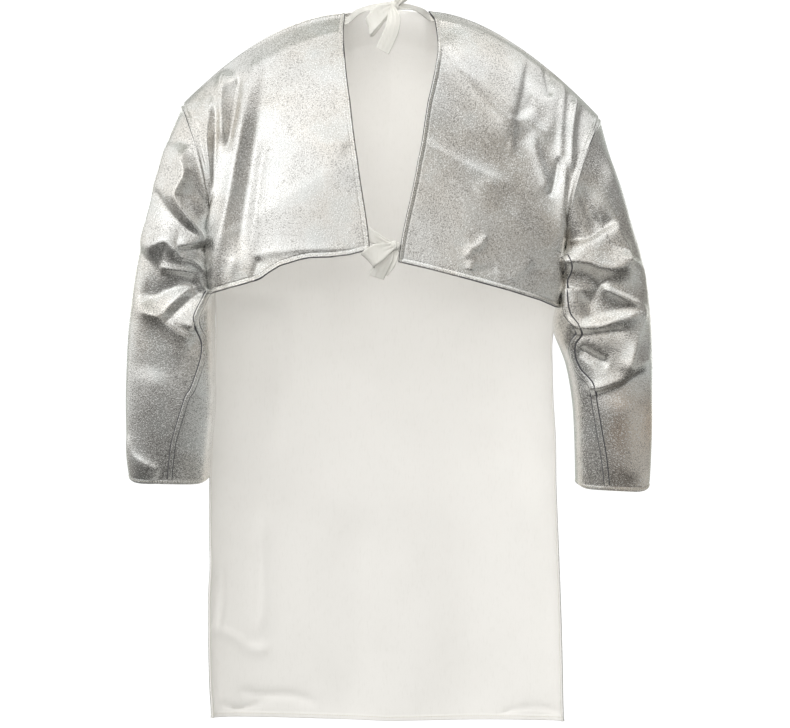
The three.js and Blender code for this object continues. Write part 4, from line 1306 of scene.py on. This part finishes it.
class COAT_OT_sleeves(bpy.types.Operator):
    """Builds the two sleeves with their felled seams and cuffs"""

    bl_idname = "coat.sleeves"
    bl_label = "Sleeves"

    def execute(self, context):
        sizes = context.scene.coat_sizes
        row = stitch_row(sizes)
        for side in SIDES:
            name = f"sleeve_{side}"
            outer, inner, normals = sleeve_grid(side, sizes)
            sleeve = shell(f"{name}_tube", outer, inner, True, [material("foil"), material("backing")])
            top, under, edge = seam_strip(side, outer, normals, sizes)
            # The third material paints the shadowed grooves along the strip's edges dark
            finishes = [material("foil"), material("foil"), material("cut_edge")]
            strip = shell(f"{name}_seam", top, under, False, finishes, edge, rim=EDGE)
            piece = joined(f"{name}_cloth", [sleeve, strip])
            lines = [line_at(outer, normals, 0, True, row)]
            sewn_sheet(piece, "aluminised_cloth", name, lines, sizes)
        return {"FINISHED"}


class COAT_OT_tie_tapes(bpy.types.Operator):
    """Builds the cotton tie tapes, tied in a bow at the nape and a bow below it"""

    bl_idname = "coat.tie_tapes"
    bl_label = "Tie tapes"

    def execute(self, context):
        sizes = context.scene.coat_sizes
        for place, bow in (("neck", NECK_BOW), ("back", BACK_BOW)):
            for side in SIDES:
                strips = [rows for name, rows in bow.items() if name.startswith(side)]
                piece, length = tie_tape(f"{place}_tie_{side}", strips, bow["knot"], WRAPS[side], sizes)
        return {"FINISHED"}


# Lights: place and aim in metres, width and height in metres, and how bright the lamp's face is
LIGHTS = {
    "key_left": {"place": (-2.3, -2.4, 1.3), "aim": (-0.1, 0, -0.3), "size": (1.0, 1.0), "glow": 1.5},
    "top": {"place": (0.6, -1.0, 2.3), "aim": (0.1, -0.05, -0.1), "size": (1.0, 0.7), "glow": 1.0},
    "front_left": {"place": (-1.4, 3.4, 0.1), "aim": (0, 0, -0.45), "size": (1.2, 0.9), "glow": 1.6},
    "front_right": {"place": (1.6, 3.2, -0.2), "aim": (0, 0, -0.5), "size": (0.8, 0.9), "glow": 1.2},
}
CLOTH_LIGHTS = {
    "cloth_fill": {"place": (-0.3, -2.0, 0.4), "aim": (0, 0, -0.45), "size": (1.6, 1.2), "glow": 1.3},
    "cloth_neck": {"place": (0, -0.9, 0.4), "aim": (0, 0.1, -0.12), "size": (0.5, 0.5), "glow": 6.6},
    "cloth_side": {"place": (-1.7, -1.0, -0.2), "aim": (0, 0, -0.5), "size": (0.4, 1.0), "glow": 2.4},
    "cloth_key": {"place": (-0.1, -2.0, -0.1), "aim": (0, 0, -0.4), "size": (1.4, 0.3), "glow": 2.9},
}

# Where the room's light changes, as parts of a unit direction
LEFT_GLOW = (-0.14, 0.04)
FLOOR_GLOW = (-0.22, 0.0)
UNDER_GLOW = (0.42, 0.64)
LOW_GLOW = (0.24, 0.56)
FACE_GLOW = (0.60, 0.85)
TOP_GLOW = (0.57, 0.71)
CEILING = {"up": (0.76, 0.95), "ahead": (-0.3, 0.1)}
AHEAD = (0.5, 0.8)
SENSOR = 36
FLOOR = {"sides": 96, "noise": (3, 2, 0.5), "share": 0.2, "dark": 0.93, "roughness": 0.9}


class COAT_OT_stage(bpy.types.Operator):
    """Builds the floor, the lights, the background and the camera"""

    bl_idname = "coat.stage"
    bl_label = "Stage"

    def execute(self, context):
        stage = context.scene.coat_stage
        self.add_floor(context, stage)
        for name, light in LIGHTS.items():
            self.add_light(context, name, light)
        for name, light in CLOTH_LIGHTS.items():
            lamp = self.add_light(context, name, light)
            lamp.light_linking.receiver_collection = collection(WHITE_CLOTH)
            if name != "cloth_key":
                lamp.light_linking.blocker_collection = collection(WHITE_BLOCKERS)
        self.add_world(context, stage)
        self.add_camera(context, stage)
        context.scene.view_settings.view_transform = "Standard"
        return {"FINISHED"}

    def add_floor(self, context, stage):
        turn = np.linspace(0, 2 * np.pi, FLOOR["sides"], endpoint=False)
        ring = np.stack([np.cos(turn), np.sin(turn), 0 * turn], -1) * stage.floor_radius
        shade = Shade(bpy.data.materials.new("floor"))
        soft = shade.noise(shade.place(), *FLOOR["noise"])
        colour = context.scene.coat_colours.floor
        tone = shade.mix(soft * FLOOR["share"], colour, [FLOOR["dark"] * part for part in colour])
        paint = shade.finish(Base_Color=tone, Roughness=FLOOR["roughness"])
        points = ring + np.array([0, 0, -stage.floor_drop])
        floor = mesh_piece("floor", points, [list(range(FLOOR["sides"]))], [paint])

    def add_light(self, context, name, light):
        lamp = bpy.data.lights.new(name, "AREA")
        lamp.shape = "RECTANGLE"
        lamp.size, lamp.size_y = light["size"]
        lamp.energy = light["glow"] * math.pi * light["size"][0] * light["size"][1]
        item = bpy.data.objects.new(name, lamp)
        context.scene.collection.objects.link(item)
        item.location = light["place"]
        way = item.location.copy()
        way.xyz = [aim - place for aim, place in zip(light["aim"], light["place"])]
        item.rotation_euler = way.to_track_quat("-Z", "Y").to_euler()
        item.visible_camera = False
        return item

    def add_world(self, context, stage):
        world = bpy.data.worlds.new("studio")
        shade = Shade(world)
        way = shade.node("ShaderNodeTexCoord", {}, {}, "Generated")
        right = shade.part(way, "X")
        ahead = shade.part(way, "Y")
        up = shade.part(way, "Z")
        floor = shade.smooth(up, *FLOOR_GLOW)
        left = shade.smooth(right * -1, *LEFT_GLOW)
        ceiling = shade.smooth(up, *CEILING["up"]) * shade.smooth(ahead, *CEILING["ahead"])
        light = shade.mix(floor * shade.smooth(ahead * -1, *FACE_GLOW), stage.room, stage.face_glow)
        light = shade.mix(left * floor, light, stage.left_glow)
        light = shade.mix(shade.smooth(up, *TOP_GLOW) * (1 - left), light, stage.top_glow)
        light = shade.mix(shade.smooth(right, *LOW_GLOW) * (1 - floor), light, stage.low_glow)
        light = shade.mix(shade.smooth(up * -1, *UNDER_GLOW), light, stage.under_glow)
        light = shade.mix(ceiling, light, stage.ceiling)
        light = shade.mix(shade.smooth(ahead, *AHEAD), light, stage.ceiling)
        seen = shade.node("ShaderNodeLightPath", {}, {}, "Is Camera Ray")
        shade.finish("Background", Color=shade.mix(seen, light, stage.background), Strength=stage.strength)
        context.scene.world = world

    def add_camera(self, context, stage):
        lens = bpy.data.cameras.new("camera")
        lens.sensor_width = SENSOR
        lens.lens = SENSOR * stage.camera_away / stage.frame_width
        camera = bpy.data.objects.new("camera", lens)
        context.scene.collection.objects.link(camera)
        camera.location = (stage.camera_side, -stage.camera_away, -stage.camera_drop)
        camera.rotation_euler = (math.pi / 2, 0, 0)
        context.scene.camera = camera


class COAT_PT_panel(bpy.types.Panel):
    """Lists the pieces of the coat and what can be changed about them"""

    bl_idname = "COAT_PT_panel"
    bl_label = "Coat"
    bl_space_type = "VIEW_3D"
    bl_region_type = "UI"
    bl_category = "Coat"

    def draw(self, context):
        for operator in OPERATORS:
            self.layout.operator(operator.bl_idname)
        for group in GROUPS:
            settings = getattr(context.scene, group)
            for name in settings.__annotations__:
                self.layout.prop(settings, name)


GROUPS = {"coat_sizes": CoatSizes, "coat_colours": CoatColours, "coat_stage": CoatStage}
OPERATORS = (
    COAT_OT_stage, COAT_OT_front_panel, COAT_OT_back_panels, COAT_OT_sleeves, COAT_OT_tie_tapes,
)
CLASSES = (*GROUPS.values(), *OPERATORS, COAT_PT_panel)


def register():
    for kind in CLASSES:
        bpy.utils.register_class(kind)
    for name, kind in GROUPS.items():
        setattr(bpy.types.Scene, name, bpy.props.PointerProperty(type=kind))


def unregister():
    for name in GROUPS:
        delattr(bpy.types.Scene, name)
    for kind in reversed(CLASSES):
        bpy.utils.unregister_class(kind)


def main():
    register()
    bpy.ops.coat.stage()
    bpy.ops.coat.front_panel()
    bpy.ops.coat.back_panels()
    bpy.ops.coat.sleeves()
    bpy.ops.coat.tie_tapes()


if __name__ == "__main__":
    main()
